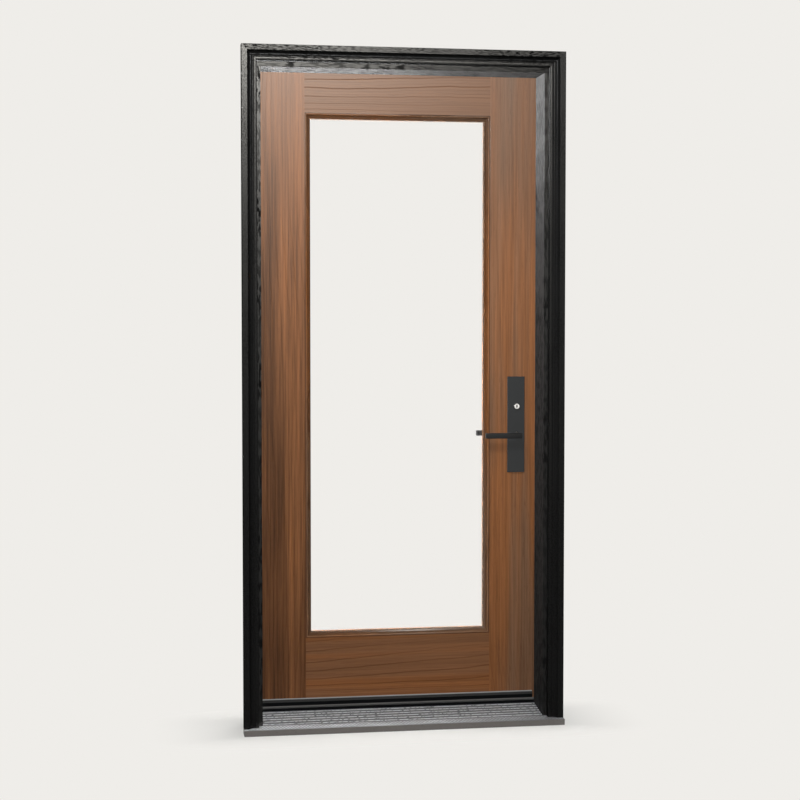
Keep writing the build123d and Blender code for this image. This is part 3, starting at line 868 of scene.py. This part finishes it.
@dataclass
class Casing:
    """Outside casing: a flat band, a cove and a low bead, mitred at the head and coped on the sill."""

    thick: float = 0.03175
    band: float = 0.018
    cove: float = 0.017
    cove_sag: float = 0.0031
    step: float = 0.0006
    foot: float = 0.02
    quirk_start: tuple[float, float] = (0.0003, 0.0001)
    quirk_middle: tuple[float, float] = (0.0009, 0.0005)
    quirk_width: float = 0.0018
    bead_out: float = 0.0208
    bead_round: float = 0.0016
    bead_shoulder: float = 0.004
    bead_crown: tuple[float, float] = (0.00015, 0.0002)
    ease: float = 0.0009
    support: float = 1.5
    stations: int = 9

    def section(self, width: float) -> np.ndarray:
        """Points (across from the outer edge, out from the back), with every arris a little rounded.

        A point stands on the flats at support roundings from each arris, so that the shading stays flat
        between them.

        Args:
            width: from the outer edge to the inner one.

        Returns:
            Array of N by 2.
        """
        thick, band, top, e, r = self.thick, self.band, self.bead_out, self.ease, self.bead_round
        end, foot = band + self.cove, self.foot
        near, drop = e * self.support, e * 0.29
        (ax, ay), (bx, by) = self.quirk_start, self.quirk_middle
        shoulder, crown = self.bead_crown
        hollow = (band + self.cove / 2, (thick + foot) / 2 - self.cove_sag)
        return joined([
            [(0.0, 0.0), (0.0, thick - near)],
            arc((0.0, thick - e), (drop, thick - drop), (e, thick), 4),
            [(near, thick), (band - near, thick)],
            arc((band - e, thick), (band - e * 0.3, thick - e * 0.1), (band, thick - e * 0.5), 4),
            arc((band + self.step, thick - e), hollow, (end, foot), 12),
            arc((end + ax, foot + ay), (end + bx, foot + by), (end + self.quirk_width, top), 5),
            arc((end + self.bead_shoulder, top + shoulder), ((end + width) / 2, top + crown),
                (width - r, top), 5),
            arc((width - r * 0.7, top - r * 0.05), (width - r * 0.25, top - r * 0.32), (width, top - r), 7),
            [(width, top - r * self.support), (width, 0.0)],
        ])

    def bar(self, name: str, section: np.ndarray, start: Point, inwards: Point, run: Point,
            ends: tuple[np.ndarray, np.ndarray]) -> Piece:
        """Carry the section along a straight line between two shaped ends.

        A point is start + across x inwards - out x (0, 1, 0) + along x run. Along goes in equal steps from
        the first end's value to the last end's, both of which depend on the section point.

        Args:
            name: the piece's name.
            section: N points by 2.
            start: where across, out and along are 0.
            inwards: the unit direction in which across runs.
            run: the unit direction in which along runs.
            ends: for each section point, where the bar starts and ends along its run.

        Returns:
            The piece.
        """
        share = np.linspace(0, 1, self.stations)[:, None]
        along = ends[0][None, :] * (1 - share) + ends[1][None, :] * share
        plane = np.array(start) + section[:, :1] * inwards - section[:, 1:] * (0.0, 1.0, 0.0)
        runs = np.concatenate([along, along[:, :1]], 1)
        uv = np.stack([runs, lengths(section)[None, :] + 0 * runs], -1)
        return loft(name, plane + along[..., None] * run, uv=uv)

    def build(self, head_finish: Material, leg_finish: Material) -> None:
        """Head and two legs, each in the place of its CAD node.

        Args:
            head_finish: the embossed black finish with long strokes, run along the UV map.
            leg_finish: the same with short strokes.
        """
        low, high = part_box("brickmould_head")
        top, edge = high.z, high.x
        section = self.section(top - low.z)
        across, out = section.T
        cope, mitre = np.maximum(SILL.nose(-out), SILL.deck(-out)), top - across
        for side, where in ((-1, "left"), (1, "right")):
            piece = self.bar(f"casing_{where}", section[::-side], (side * edge, 0.0, 0.0), (-side, 0.0, 0.0),
                             (0.0, 0.0, 1.0), (cope[::-side], mitre[::-side]))
            piece.place("frame", "frame_composite", leg_finish, f"brickmould_{where}")
        piece = self.bar("casing_head", section, (0.0, 0.0, top), (0.0, 0.0, -1.0), (1.0, 0.0, 0.0),
                         (across - edge, edge - across))
        piece.place("frame", "frame_composite", head_finish, "brickmould_head")


@dataclass
class GlazingTrim:
    """Moulded frame that holds the glass: shadow groove, bead, quirk and cove."""

    groove_width: float = 0.0024
    groove_depth: float = 0.002
    bead_width: float = 0.0036
    bead_proud: float = 0.0008
    quirk: float = 0.0016
    sight: float = 0.0178
    glass_depth: float = 0.0095
    lip: float = 0.0015
    hollow: float = 0.0012
    seat: float = 0.008
    groove_light: float = 0.42
    cove_light: float = 0.5
    groove_before: float = 0.001
    cove_after: float = 0.004
    round_points: int = 12
    corner_gap: float = 0.7

    def section(self, half: float) -> np.ndarray:
        """Points (inset from the outline, depth from the skin's face).

        Args:
            half: half the slab's thickness, where the inner and outer frames meet.

        Returns:
            Array of N by 2.
        """
        end = self.groove_width + self.bead_width
        floor = self.glass_depth - self.lip
        crown = (self.groove_width + self.bead_width / 2, -self.bead_proud)
        middle = ((end + self.sight) / 2, (self.quirk + floor) / 2 + self.hollow)
        return joined([
            [(0.0, half), (0.0, self.groove_depth)],
            arc((self.groove_width, self.groove_depth), crown, (end, self.quirk), self.round_points),
            arc((end + 0.0003, self.quirk + 0.0001), middle, (self.sight - 0.0005, floor - 0.0001),
                self.round_points),
            [(self.sight, floor + 0.0004), (self.sight, self.glass_depth), (self.seat, self.glass_depth),
             (self.seat, half)],
        ])

    def painted_shade_strips(self) -> tuple[tuple[float, float, float], ...]:
        """Strips of painted shade in the groove and the cove, where shade falls.

        Returns:
            For each strip, where it starts and ends in metres round the section, and the light left in it.
        """
        _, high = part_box("glazing_frame_exterior")
        girth = lengths(self.section(high.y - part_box("skin_exterior")[0].y))
        groove, bead = girth[1:3]
        cove, lip = girth[2 + self.round_points], girth[1 + 2 * self.round_points]
        return ((groove - self.groove_before, bead, self.groove_light),
                (cove, lip + self.cove_after, self.cove_light))

    def ring(self, name: str, node: str, face_y: float, inward: int, finish: Material) -> None:
        """Carry the section round the four mitred corners of the opening.

        The point at a corner (cx, cz) is (cx - sx x inset, face + inward x depth, cz - sz x inset), where sx
        and sz are the corner's signs. On the UV map the sides lie apart by the corner gap.

        Args:
            name: the piece's name.
            node: the CAD node that it stands for.
            face_y: the skin's face.
            inward: 1 for the outside frame and -1 for the inside one.
            finish: stained grain, run along the UV map.
        """
        low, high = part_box(node)
        section = self.section(abs((high.y if inward > 0 else low.y) - face_y))
        inset, depth = section.T
        signs = np.array([(-1, 1), (1, 1), (1, -1), (-1, -1)])[::inward]
        middle = np.array([(low.x + high.x) / 2, (low.z + high.z) / 2])
        reach = np.array([(high.x - low.x) / 2, (high.z - low.z) / 2])
        plan = middle + signs[:, None, :] * (reach - inset[None, :, None])
        x, z = plan[..., 0], plan[..., 1]
        loops = np.stack([x, face_y + inward * depth[None, :] + 0 * x, z], -1)
        spans = np.linalg.norm(np.diff(np.concatenate([plan, plan[:1]]), axis=0), axis=2).mean(1)
        along = np.concatenate([[0.0], np.cumsum(spans + self.corner_gap)])
        uv = np.stack(np.meshgrid(along, lengths(section), indexing="ij"), -1)
        loft(name, loops, closed_path=True, uv=uv).place("slab", "slab_skin", finish, node)

    def build(self, finish: Material) -> None:
        """Outside and inside frames.

        Args:
            finish: stained grain, run along the UV map.
        """
        outside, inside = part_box("skin_exterior")[0].y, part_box("skin_interior")[1].y
        self.ring("glazing_trim_outside", "glazing_frame_exterior", outside, 1, finish)
        self.ring("glazing_trim_inside", "glazing_frame_interior", inside, -1, finish)


@dataclass
class NoseTread:
    """Slanted non-slip bars pressed up on the sill's nose strip."""

    pitch: float = 0.0105
    slant: float = 0.42
    rise: float = 0.0011
    front: float = -0.0485
    back: float = -0.0065
    casing_front: float = -0.0335
    edge: float = 0.5015
    inner: float = 0.4515
    step_along: float = 0.00105
    step_across: float = 0.002
    fade_width: float = 0.002
    lift: float = 0.00008
    sunk: float = 0.0006
    steepness: float = 1.6
    fullness: float = 0.1

    def fade(self, at: np.ndarray, start: float, end: float) -> np.ndarray:
        """0 at both ends and 1 from the fade's width inwards."""
        return np.clip((at - start) / self.fade_width, 0, 1) * np.clip((end - at) / self.fade_width, 0, 1)

    def strip(self, name: str, x0: float, x1: float, y1: float, finish: Material) -> None:
        """A low plate whose top is the nose's slope plus rise x bar.

        Bar is a smoothed wave of (x + slant x y) / pitch, flat-topped, faded to nothing at the plate's edges.

        Args:
            name: the piece's name.
            x0: left end.
            x1: right end.
            y1: back edge.
            finish: the aluminium finish.
        """
        y0 = self.front
        x = np.linspace(x0, x1, max(8, int((x1 - x0) / self.step_along)))[:, None]
        y = np.linspace(y0, y1, max(6, int((y1 - y0) / self.step_across)))[None, :]
        wave = np.cos(2 * np.pi * (x + self.slant * (y - y0)) / self.pitch)
        bar = np.clip(wave * self.steepness + self.fullness, 0, 1)
        bar = bar * self.fade(y, y0, y1) * self.fade(x, x0, x1)
        top = np.stack([x + 0 * y, y + 0 * x, SILL.nose(y) + self.lift + self.rise * bar], -1)
        y = np.array([[y1, y0]])
        under = np.stack([x + 0 * y, y + 0 * x, SILL.nose(y) - self.sunk + 0 * x], -1)
        loops = np.concatenate([top, under], 1)[:, ::-1]
        loft(name, loops, smooth_below=50.0).place("frame", "sill_aluminium", finish)

    def build(self, finish: Material) -> None:
        """One long strip between the casing's legs and a short one before each.

        Args:
            finish: the aluminium finish.
        """
        self.strip("nose_tread", -self.inner, self.inner, self.back, finish)
        self.strip("nose_tread_left", -self.edge, -self.inner, self.casing_front, finish)
        self.strip("nose_tread_right", self.inner, self.edge, self.casing_front, finish)


@dataclass
class Lever:
    """Flat-bar lever with softly rounded arrises and a round neck."""

    thick: float = 0.015
    ease: float = 0.0016
    neck_radius: float = 0.0085
    neck_overlap: float = 0.001
    waist: float = 0.06
    rings: int = 5
    corner_points: int = 6
    neck_sides: int = 32
    neck_stations: int = 9

    def bar(self, name: str, node: str, finish: Material, outside: bool) -> None:
        """A rounded block carried along X, and a neck turned about Y.

        At distance d from an end, the section is a rounded rectangle drawn in by
        ease - sqrt(ease^2 - (ease - d)^2).

        Args:
            name: the piece's name.
            node: the CAD node that it stands for.
            finish: powder coat.
            outside: whether the bar is on the door's outside.
        """
        low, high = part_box(node)
        y0, y1 = (low.y, low.y + self.thick) if outside else (high.y - self.thick, high.y)
        e = self.ease
        turn = np.arange(4)[:, None] * np.pi / 2 + np.linspace(0, np.pi / 2, self.corner_points)
        rounds = np.stack([np.cos(turn), np.sin(turn)], -1).reshape(-1, 2) * e
        half = np.array([(y1 - y0) / 2 - e, (high.z - low.z) / 2 - e])
        signs = np.array([(1, 1), (-1, 1), (-1, -1), (1, -1)])
        middles = np.repeat(signs * half, self.corner_points, axis=0)
        centre = np.array([(y0 + y1) / 2, (low.z + high.z) / 2])
        d = e * (1 - np.cos(np.linspace(0, np.pi / 2, self.rings)))
        draw = e - np.sqrt(np.maximum(e ** 2 - (e - d) ** 2, 0))
        x = np.concatenate([low.x + d, (high.x - d)[::-1]])
        shrink = np.concatenate([draw, draw[::-1]])
        plan = middles[None] + rounds[None] * (1 - shrink / e)[:, None, None] + centre
        loops = np.stack([x[:, None] + 0 * plan[..., 0], plan[..., 0], plan[..., 1]], -1)
        loft(name, loops, smooth_below=40.0).place("lever", "lock_black", finish, node)
        span = (y1 - self.neck_overlap, high.y) if outside else (low.y, y0 + self.neck_overlap)
        self.neck(name + "_neck", span, centre[1], finish)

    def neck(self, name: str, span: tuple[float, float], z: float, finish: Material) -> None:
        """A turned neck about the spindle's line: radius x (1 - waist x sin(pi s)), with s from 0 to 1.

        Args:
            name: the piece's name.
            span: its ends along Y.
            z: height of the spindle.
            finish: powder coat.
        """
        share = np.linspace(0, 1, self.neck_stations)[:, None]
        radius = self.neck_radius * (1 - self.waist * np.sin(np.pi * share))
        turn = around(self.neck_sides)
        y = span[0] + (span[1] - span[0]) * share + 0 * turn
        loops = np.stack([centre_of("spindle")[0] + radius * np.cos(turn), y, z - radius * np.sin(turn)], -1)
        loft(name, loops).place("lever", "lock_black", finish)

    def build(self, finish: Material) -> None:
        """Outside and inside levers.

        Args:
            finish: powder coat.
        """
        self.bar("lever_outside", "lever_exterior", finish, True)
        self.bar("lever_inside", "lever_interior", finish, False)


@dataclass
class Screws:
    """Countersunk screws with a cross recess, flush in the plates."""

    radius: float = 0.0042
    crown: float = 0.00035
    recess: float = 0.0016
    arm: float = 0.0007
    reach: float = 0.0026
    rim_height: float = 0.00003
    sunk: float = 0.0012
    ring_shares: tuple[float, ...] = (0.08, 0.2, 0.32, 0.44, 0.58, 0.62, 0.78, 0.92, 1.0, 0.97)
    sides: int = 32
    small: float = 0.9
    hinge_holes: tuple[tuple[float, float], ...] = (
        (0.0115, -0.036), (0.0245, -0.0125), (0.0245, 0.0125), (0.0115, 0.036))
    strike_holes: tuple[float, ...] = (-0.092, 0.0, 0.092)
    faceplate_holes: tuple[float, ...] = (-0.106, 0.106)
    faceplate_bevel: float = 3.0
    plate_inset: float = 0.022

    def head(self, centres: list, out: Point, name: str, body: str, slot: str, finish: Material,
             scale: float = 1.0) -> None:
        """Heads as height fields over a disc: crown x (1 - (r/R)^2), less the recess inside a cross.

        The cross is |u| or |v| under arm, within reach; (u, v) = r (cos, sin). The last ring drops below the
        plate's face so that the head's rim is closed.

        Args:
            centres: points on the plates' faces.
            out: the unit direction that the heads face.
            name: the piece's name.
            body: the body that they ride on.
            slot: the record's material slot.
            finish: their material.
            scale: size of the heads.
        """
        radius = self.radius * scale
        r = np.array(self.ring_shares)[:, None] * radius
        turn = around(self.sides)
        u, v = r * np.cos(turn), r * np.sin(turn)
        inside = (np.minimum(abs(u), abs(v)) < self.arm * scale) & (r < self.reach * scale)
        height = self.crown * (1 - (r / radius) ** 2) - self.recess * scale * inside
        height[-2:] = [[self.rim_height], [-self.sunk]]
        side = np.cross((0.0, 0.0, 1.0), out)
        up = np.cross(out, side)
        local = u[..., None] * side + v[..., None] * up + height[..., None] * np.array(out)
        rings, count = local.shape[:2]
        ring = np.arange(count)
        caps = [ring, ring[::-1] + (rings - 1) * count]
        walls = quads(rings, count)[:, [0, 3, 2, 1]]
        faces = []
        for start in range(0, len(centres) * rings * count, rings * count):
            faces += (walls + start).tolist() + [(cap + start).tolist() for cap in caps]
        points = np.concatenate([local.reshape(-1, 3) + centre for centre in centres])
        Piece(name, points, faces, smooth_below=30.0).place(body, slot, finish)

    def build(self, black: Material, steel: Material) -> None:
        """Hinge, strike, faceplate and inside plate screws.

        The hinge leaves lie flush in the jamb and in the slab's edge, so their faces are at wall and edge.

        Args:
            black: finish of the hinge, strike and plate screws.
            steel: finish of the faceplate screws.
        """
        wall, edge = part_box("threshold_cap")[0].x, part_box("skin_exterior")[0].x
        holes = []
        for place in HINGES:
            leaf = f"hinge_{place}_frame_leaf"
            y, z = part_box(leaf)[0].y, centre_of(leaf)[2]
            holes += [(y + dy, z + dz) for dy, dz in self.hinge_holes]
        right, left, inside = (1.0, 0.0, 0.0), (-1.0, 0.0, 0.0), (0.0, 1.0, 0.0)
        self.head([(wall, *hole) for hole in holes], right, "hinge_screws_frame", "frame", "hardware", black)
        self.head([(edge, *hole) for hole in holes], left, "hinge_screws_door", "slab", "hardware", black)
        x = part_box("strike_plate")[0].x
        _, y, z = centre_of("strike_plate")
        places = [(x, y, z + d) for d in self.strike_holes]
        self.head(places, left, "strike_screws", "frame", "hardware", black)
        x = (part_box("skin_interior")[1].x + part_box("skin_exterior")[1].x) / 2
        _, y, z = centre_of("lock_faceplate")
        bevel = math.radians(self.faceplate_bevel)
        places = [(x, y, z + d) for d in self.faceplate_holes]
        bevelled = (math.cos(bevel), -math.sin(bevel), 0.0)
        self.head(places, bevelled, "faceplate_screws", "slab", "lock_steel", steel, self.small)
        low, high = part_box("escutcheon_interior")
        x = centre_of("escutcheon_interior")[0]
        places = [(x, high.y, z) for z in (low.z + self.plate_inset, high.z - self.plate_inset)]
        self.head(places, inside, "inside_plate_screws", "slab", "lock_black", black, self.small)


@dataclass
class Finishes:
    """All the finishes of the door, made once."""

    stile_line: float
    nickel: Colour = (0.5, 0.5, 0.496)
    cylinder_radius: float = 0.0081

    def table(self) -> list[tuple[Finish, str]]:
        """Each finish, and the CAD nodes that wear it; those without nodes are for new pieces.

        Returns:
            Pairs of a finish and the nodes' names in one string.
        """
        x, _, z = centre_of("lock_cylinder")
        leaves = " ".join(f"hinge_{place}_{side}_leaf" for place in HINGES for side in ("frame", "door"))
        return [
            (EmbossedBlack("black_upright", Run.UPRIGHT, polish=0.08, spread=0.24, strokes=34.0,
                           pebbles=150.0, gloss=0.008),
             "jamb_hinge_side jamb_lock_side brickmould_left brickmould_right"),
            (EmbossedBlack("black_level", Run.LEVEL, polish=0.05, spread=0.22, strokes=38.0, pebbles=190.0,
                           gloss=0.003), "jamb_head brickmould_head"),
            (EmbossedBlack("black_head", Run.ITS_OWN, strokes=70.0, pebbles=350.0), ""),
            # Painted light: the legs' ground is painted lighter than the other black pieces'.
            (EmbossedBlack("black_leg", Run.ITS_OWN, ground=(0.0095, 0.0095, 0.0095), polish=0.075,
                           spread=0.2, strokes=200.0, pebbles=320.0, dulled=0.6), ""),
            (StainedGrain("stain_framed", Run.FRAMED, self.stile_line),
             "skin_exterior skin_interior glazing_frame_exterior glazing_frame_interior"),
            (StainedGrain("stain_along", Run.ITS_OWN, lines_per_metre=8.0, sweep=1.5, relief=0.0002,
                          painted_shade_strips=GlazingTrim().painted_shade_strips()), ""),
            (MillMetal("sill_metal", (0.11, 0.114, 0.122), 0.32, 0.25), "sill_deck"),
            (PowderCoat("charcoal_coat", (0.0265, 0.0285, 0.0305), 0.6, 0.03),
             "escutcheon_exterior escutcheon_interior thumbturn"),
            # Painted shade: the levers are painted darker than the plates, though both wear the lock's one
            # black coat.
            (PowderCoat("lever_coat", (0.013, 0.0135, 0.014), 0.5, 0.02), "lever_exterior lever_interior"),
            (PowderCoat("black_coat", (0.016, 0.016, 0.017), 0.45, 0.2), "strike_plate " + leaves),
            # The caps get painted top light and a painted highlight along the drip cap's top edge.
            (PowderCoat("threshold_black", (0.006, 0.0065, 0.007), 0.6, 0.0, 500.0, painted_top_light=0.24,
                        rim=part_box("drip_cap")[1].z), "threshold_cap drip_cap"),
            (TurnedMetal("satin_nickel", self.nickel, 0.14, (x, z), rim=self.cylinder_radius),
             "lock_cylinder"),
            (TurnedMetal("plug_nickel", self.nickel, 0.14, (x, z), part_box("key_plug")[0].y), "key_plug"),
            (TurnedMetal("satin_steel", (0.42, 0.42, 0.41), 0.38), "spindle lock_faceplate"),
            (Moulded("seal_black", (0.012, 0.012, 0.012), 0.75, 700.0, 0.0001),
             "weatherstrip_hinge_side weatherstrip_lock_side weatherstrip_head door_sweep"),
            (Moulded("sill_grey", (0.1, 0.1, 0.1), 0.7, 300.0, 0.0002), "sill_base"),
            (Moulded("core_foam", (0.7, 0.62, 0.4), 0.9, 900.0, 0.0004), "door_core"),
            (Moulded("spacer_bronze", (0.03, 0.02, 0.014), 0.6, 900.0, 0.00002, 0.0), "glass_spacer"),
            (SawnWood("edge_wood_upright", Run.UPRIGHT), "stile_hinge stile_lock"),
            (SawnWood("edge_wood_level", Run.LEVEL), "rail_top rail_bottom"),
            (ClearGlass("clear_glass"), "glass_exterior glass_interior"),
        ]

    def dress(self) -> dict[str, Material]:
        """Make every finish and give every CAD node its own.

        Returns:
            The materials by their finishes' names.
        """
        made, wanted = {}, {}
        for finish, nodes in self.table():
            made[finish.name] = finish.make()
            wanted |= dict.fromkeys(nodes.split(), made[finish.name])
        for name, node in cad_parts.items():
            node.data.materials.clear()
            node.data.materials.append(wanted[name])
            log.info("%s: %s", name, wanted[name].name)
        return made


# Studio


def outward(azimuth: float, elevation: float) -> Vector:
    """The unit vector at so many degrees to the right of straight in front and above the horizon."""
    a, e = math.radians(azimuth), math.radians(elevation)
    return Vector((math.sin(a) * math.cos(e), -math.cos(a) * math.cos(e), math.sin(e)))


def stand(name: str, data: bpy.types.ID, at: Vector, look: Vector) -> bpy.types.Object:
    """Set up a lamp or the camera.

    Args:
        name: its name.
        data: its data.
        at: where it stands.
        look: the direction that it faces.

    Returns:
        The object.
    """
    made = linked(name, data)
    made.location = at
    made.rotation_euler = look.to_track_quat("-Z", "Y").to_euler()
    return made


def add_lamp(name: str, kind: str, at: Vector, look: Vector, unseen_by: str, **settings: object) -> None:
    """Add a lamp that neither the camera nor a ray through glass sees.

    Args:
        name: its name.
        kind: SUN, AREA or SPOT.
        at: where it stands.
        look: the direction that it faces.
        unseen_by: a further kind of ray that misses it.
        settings: its properties.
    """
    data = bpy.data.lights.new(name, kind)
    for key, setting in settings.items():
        setattr(data, key, setting)
    lamp = stand(name, data, at, look)
    for ray in ("camera", "transmission", unseen_by):
        setattr(lamp, f"visible_{ray}", False)


@dataclass(frozen=True)
class SoftLamp:
    """A lamp that lights matt surfaces and isn't mirrored; it faces its aim, with its power in watts.

    With a cone, in degrees, it is a soft-edged spot, and without one a square of the given side.
    """

    name: str
    at: Point
    aim: Point
    power: float
    side: float = 0.0
    cone: float = 0.0
    shadow: bool = True
    bulb: float = 0.22

    def add(self) -> None:
        """Add it to the scene."""
        kind, shape = "AREA", {"shape": "SQUARE", "size": self.side}
        if self.cone:
            kind = "SPOT"
            shape = {"spot_size": math.radians(self.cone), "spot_blend": 1.0, "shadow_soft_size": self.bulb}
        add_lamp(self.name, kind, Vector(self.at), Vector(self.aim) - Vector(self.at), "glossy",
                 energy=self.power, use_shadow=self.shadow, **shape)


@dataclass(frozen=True)
class Sheen:
    """A far lamp that shows only as a soft sheen on polished faces, without shadows.

    It stands at an azimuth and an elevation, in degrees to the right of straight in front and above the
    horizon. Spread is its angular size in degrees, and power is in watts per square metre.
    """

    name: str
    azimuth: float
    elevation: float
    spread: float
    power: float
    colour: Colour = (1.0, 1.0, 1.0)
    distance: float = 8.0

    def add(self) -> None:
        """Add it to the scene."""
        out = outward(self.azimuth, self.elevation)
        add_lamp(self.name, "SUN", out * self.distance, -out, "diffuse", energy=self.power,
                 color=self.colour, angle=math.radians(self.spread), use_shadow=False)


# A high soft key, a spot on the lock, a lamp behind, and a sheen for each way the polish faces
LAMPS = (
    SoftLamp("key", (-0.9, -1.9, 3.5), (0.0, 0.0, 1.8), 82.0, side=1.2, shadow=False),
    SoftLamp("near_lock", (-0.35, -1.5, 2.15), (0.36, 0.1, 1.08), 50.0, cone=38.0),
    SoftLamp("back", (1.6, 3.4, 3.6), (0.0, 0.1, 1.2), 50.0, side=1.6),
    Sheen("sheen", 5.0, 14.0, 5.0, 13.8, (1.0, 0.97, 0.9)),
    Sheen("jamb", 194.0, 8.0, 5.0, 1.35),
    Sheen("sill", 187.0, 27.0, 5.0, 1.1),
    Sheen("under", 174.5, -8.5, 6.0, 2.9),
    Sheen("right_cove", -50.0, 14.0, 8.0, 3.6),
    Sheen("left_cove", 55.0, 14.0, 8.0, 3.6),
    Sheen("head_cove", 5.0, -40.0, 8.0, 4.0),
)


@dataclass
class Studio:
    """Pale floor and backdrop, soft lamps, and the camera."""

    backdrop: Colour = (0.863, 0.847, 0.815)
    soft_light: Colour = (1.0, 0.99, 0.97)
    ambient: float = 0.3
    floor_level: float = -0.0002
    floor_rings: tuple[float, ...] = (0.6, 1.2, 2.5, 6.0, 20.0, 60.0)
    floor_sides: int = 64
    lens: float = 76.93
    sensor: float = 36.0
    azimuth: float = -9.15
    elevation: float = 2.66
    distance: float = 5.2853
    target: Point = (-0.0193, -0.03175, 1.0298)

    def world(self) -> None:
        """The backdrop's colour for camera, glossy and transmitted rays, and soft light for the rest."""
        world = bpy.data.worlds.new("surroundings")
        bpy.context.scene.world = world
        tree = Tree(world)
        path = tree.node("ShaderNodeLightPath", {})
        camera, glossy, through = (Value(tree, path.outputs[f"Is {ray} Ray"])
                                   for ray in ("Camera", "Glossy", "Transmission"))
        seen = camera.most(glossy).most(through)
        shown = tree.node("ShaderNodeBackground", {}, Color=self.backdrop, Strength=1.0)
        light = tree.node("ShaderNodeBackground", {}, Color=self.soft_light, Strength=self.ambient)
        mixed = tree.node("ShaderNodeMixShader", {}, in0=seen, in1=light.outputs[0], in2=shown.outputs[0])
        tree.node("ShaderNodeOutputWorld", {}, Surface=mixed.outputs[0])

    def floor(self) -> None:
        """A wide disc that shows the backdrop's colour, with a soft shadow near the sill, partly painted and
        partly real.
        """
        rings = np.array(self.floor_rings)[:, None]
        turn = around(self.floor_sides)
        level = np.full((len(rings), self.floor_sides), self.floor_level)
        points = np.stack([rings * np.cos(turn), rings * np.sin(turn), level], -1).reshape(-1, 3)
        points = np.concatenate([points, [[0.0, 0.0, self.floor_level]]])
        ring = np.arange(self.floor_sides)
        fan = np.stack([ring, (ring + 1) % self.floor_sides, np.full(self.floor_sides, len(points) - 1)], -1)
        walls = quads(len(rings), self.floor_sides)[:, [0, 3, 2, 1]]
        mesh = bpy.data.meshes.new("floor")
        mesh.from_pydata(points.tolist(), [], walls.tolist() + fan.tolist())
        mesh.materials.append(PaleFloor("pale_floor", self.backdrop).make())
        floor = linked("floor", mesh)

    def camera(self) -> None:
        """The camera at the photograph's place."""
        back = outward(self.azimuth, self.elevation)
        data = bpy.data.cameras.new("camera")
        data.lens = self.lens
        data.sensor_width = self.sensor
        at = Vector(self.target) + back * self.distance
        bpy.context.scene.camera = stand("camera", data, at, -back)

    def build(self) -> None:
        """All of the studio."""
        bpy.context.scene.view_settings.view_transform = "Standard"
        self.world()
        self.floor()
        for lamp in LAMPS:
            lamp.add()
        self.camera()


def main() -> None:
    """Build the classes in order."""
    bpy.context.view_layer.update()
    trim_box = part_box("glazing_frame_exterior")
    finishes = Finishes(stile_line=trim_box[1].x).dress()
    Casing().build(finishes["black_head"], finishes["black_leg"])
    GlazingTrim().build(finishes["stain_along"])
    NoseTread().build(finishes["sill_metal"])
    Lever().build(finishes["lever_coat"])
    Screws().build(finishes["black_coat"], finishes["satin_steel"])
    Studio().build()
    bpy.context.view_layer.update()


if __name__ == "__main__":
    main()
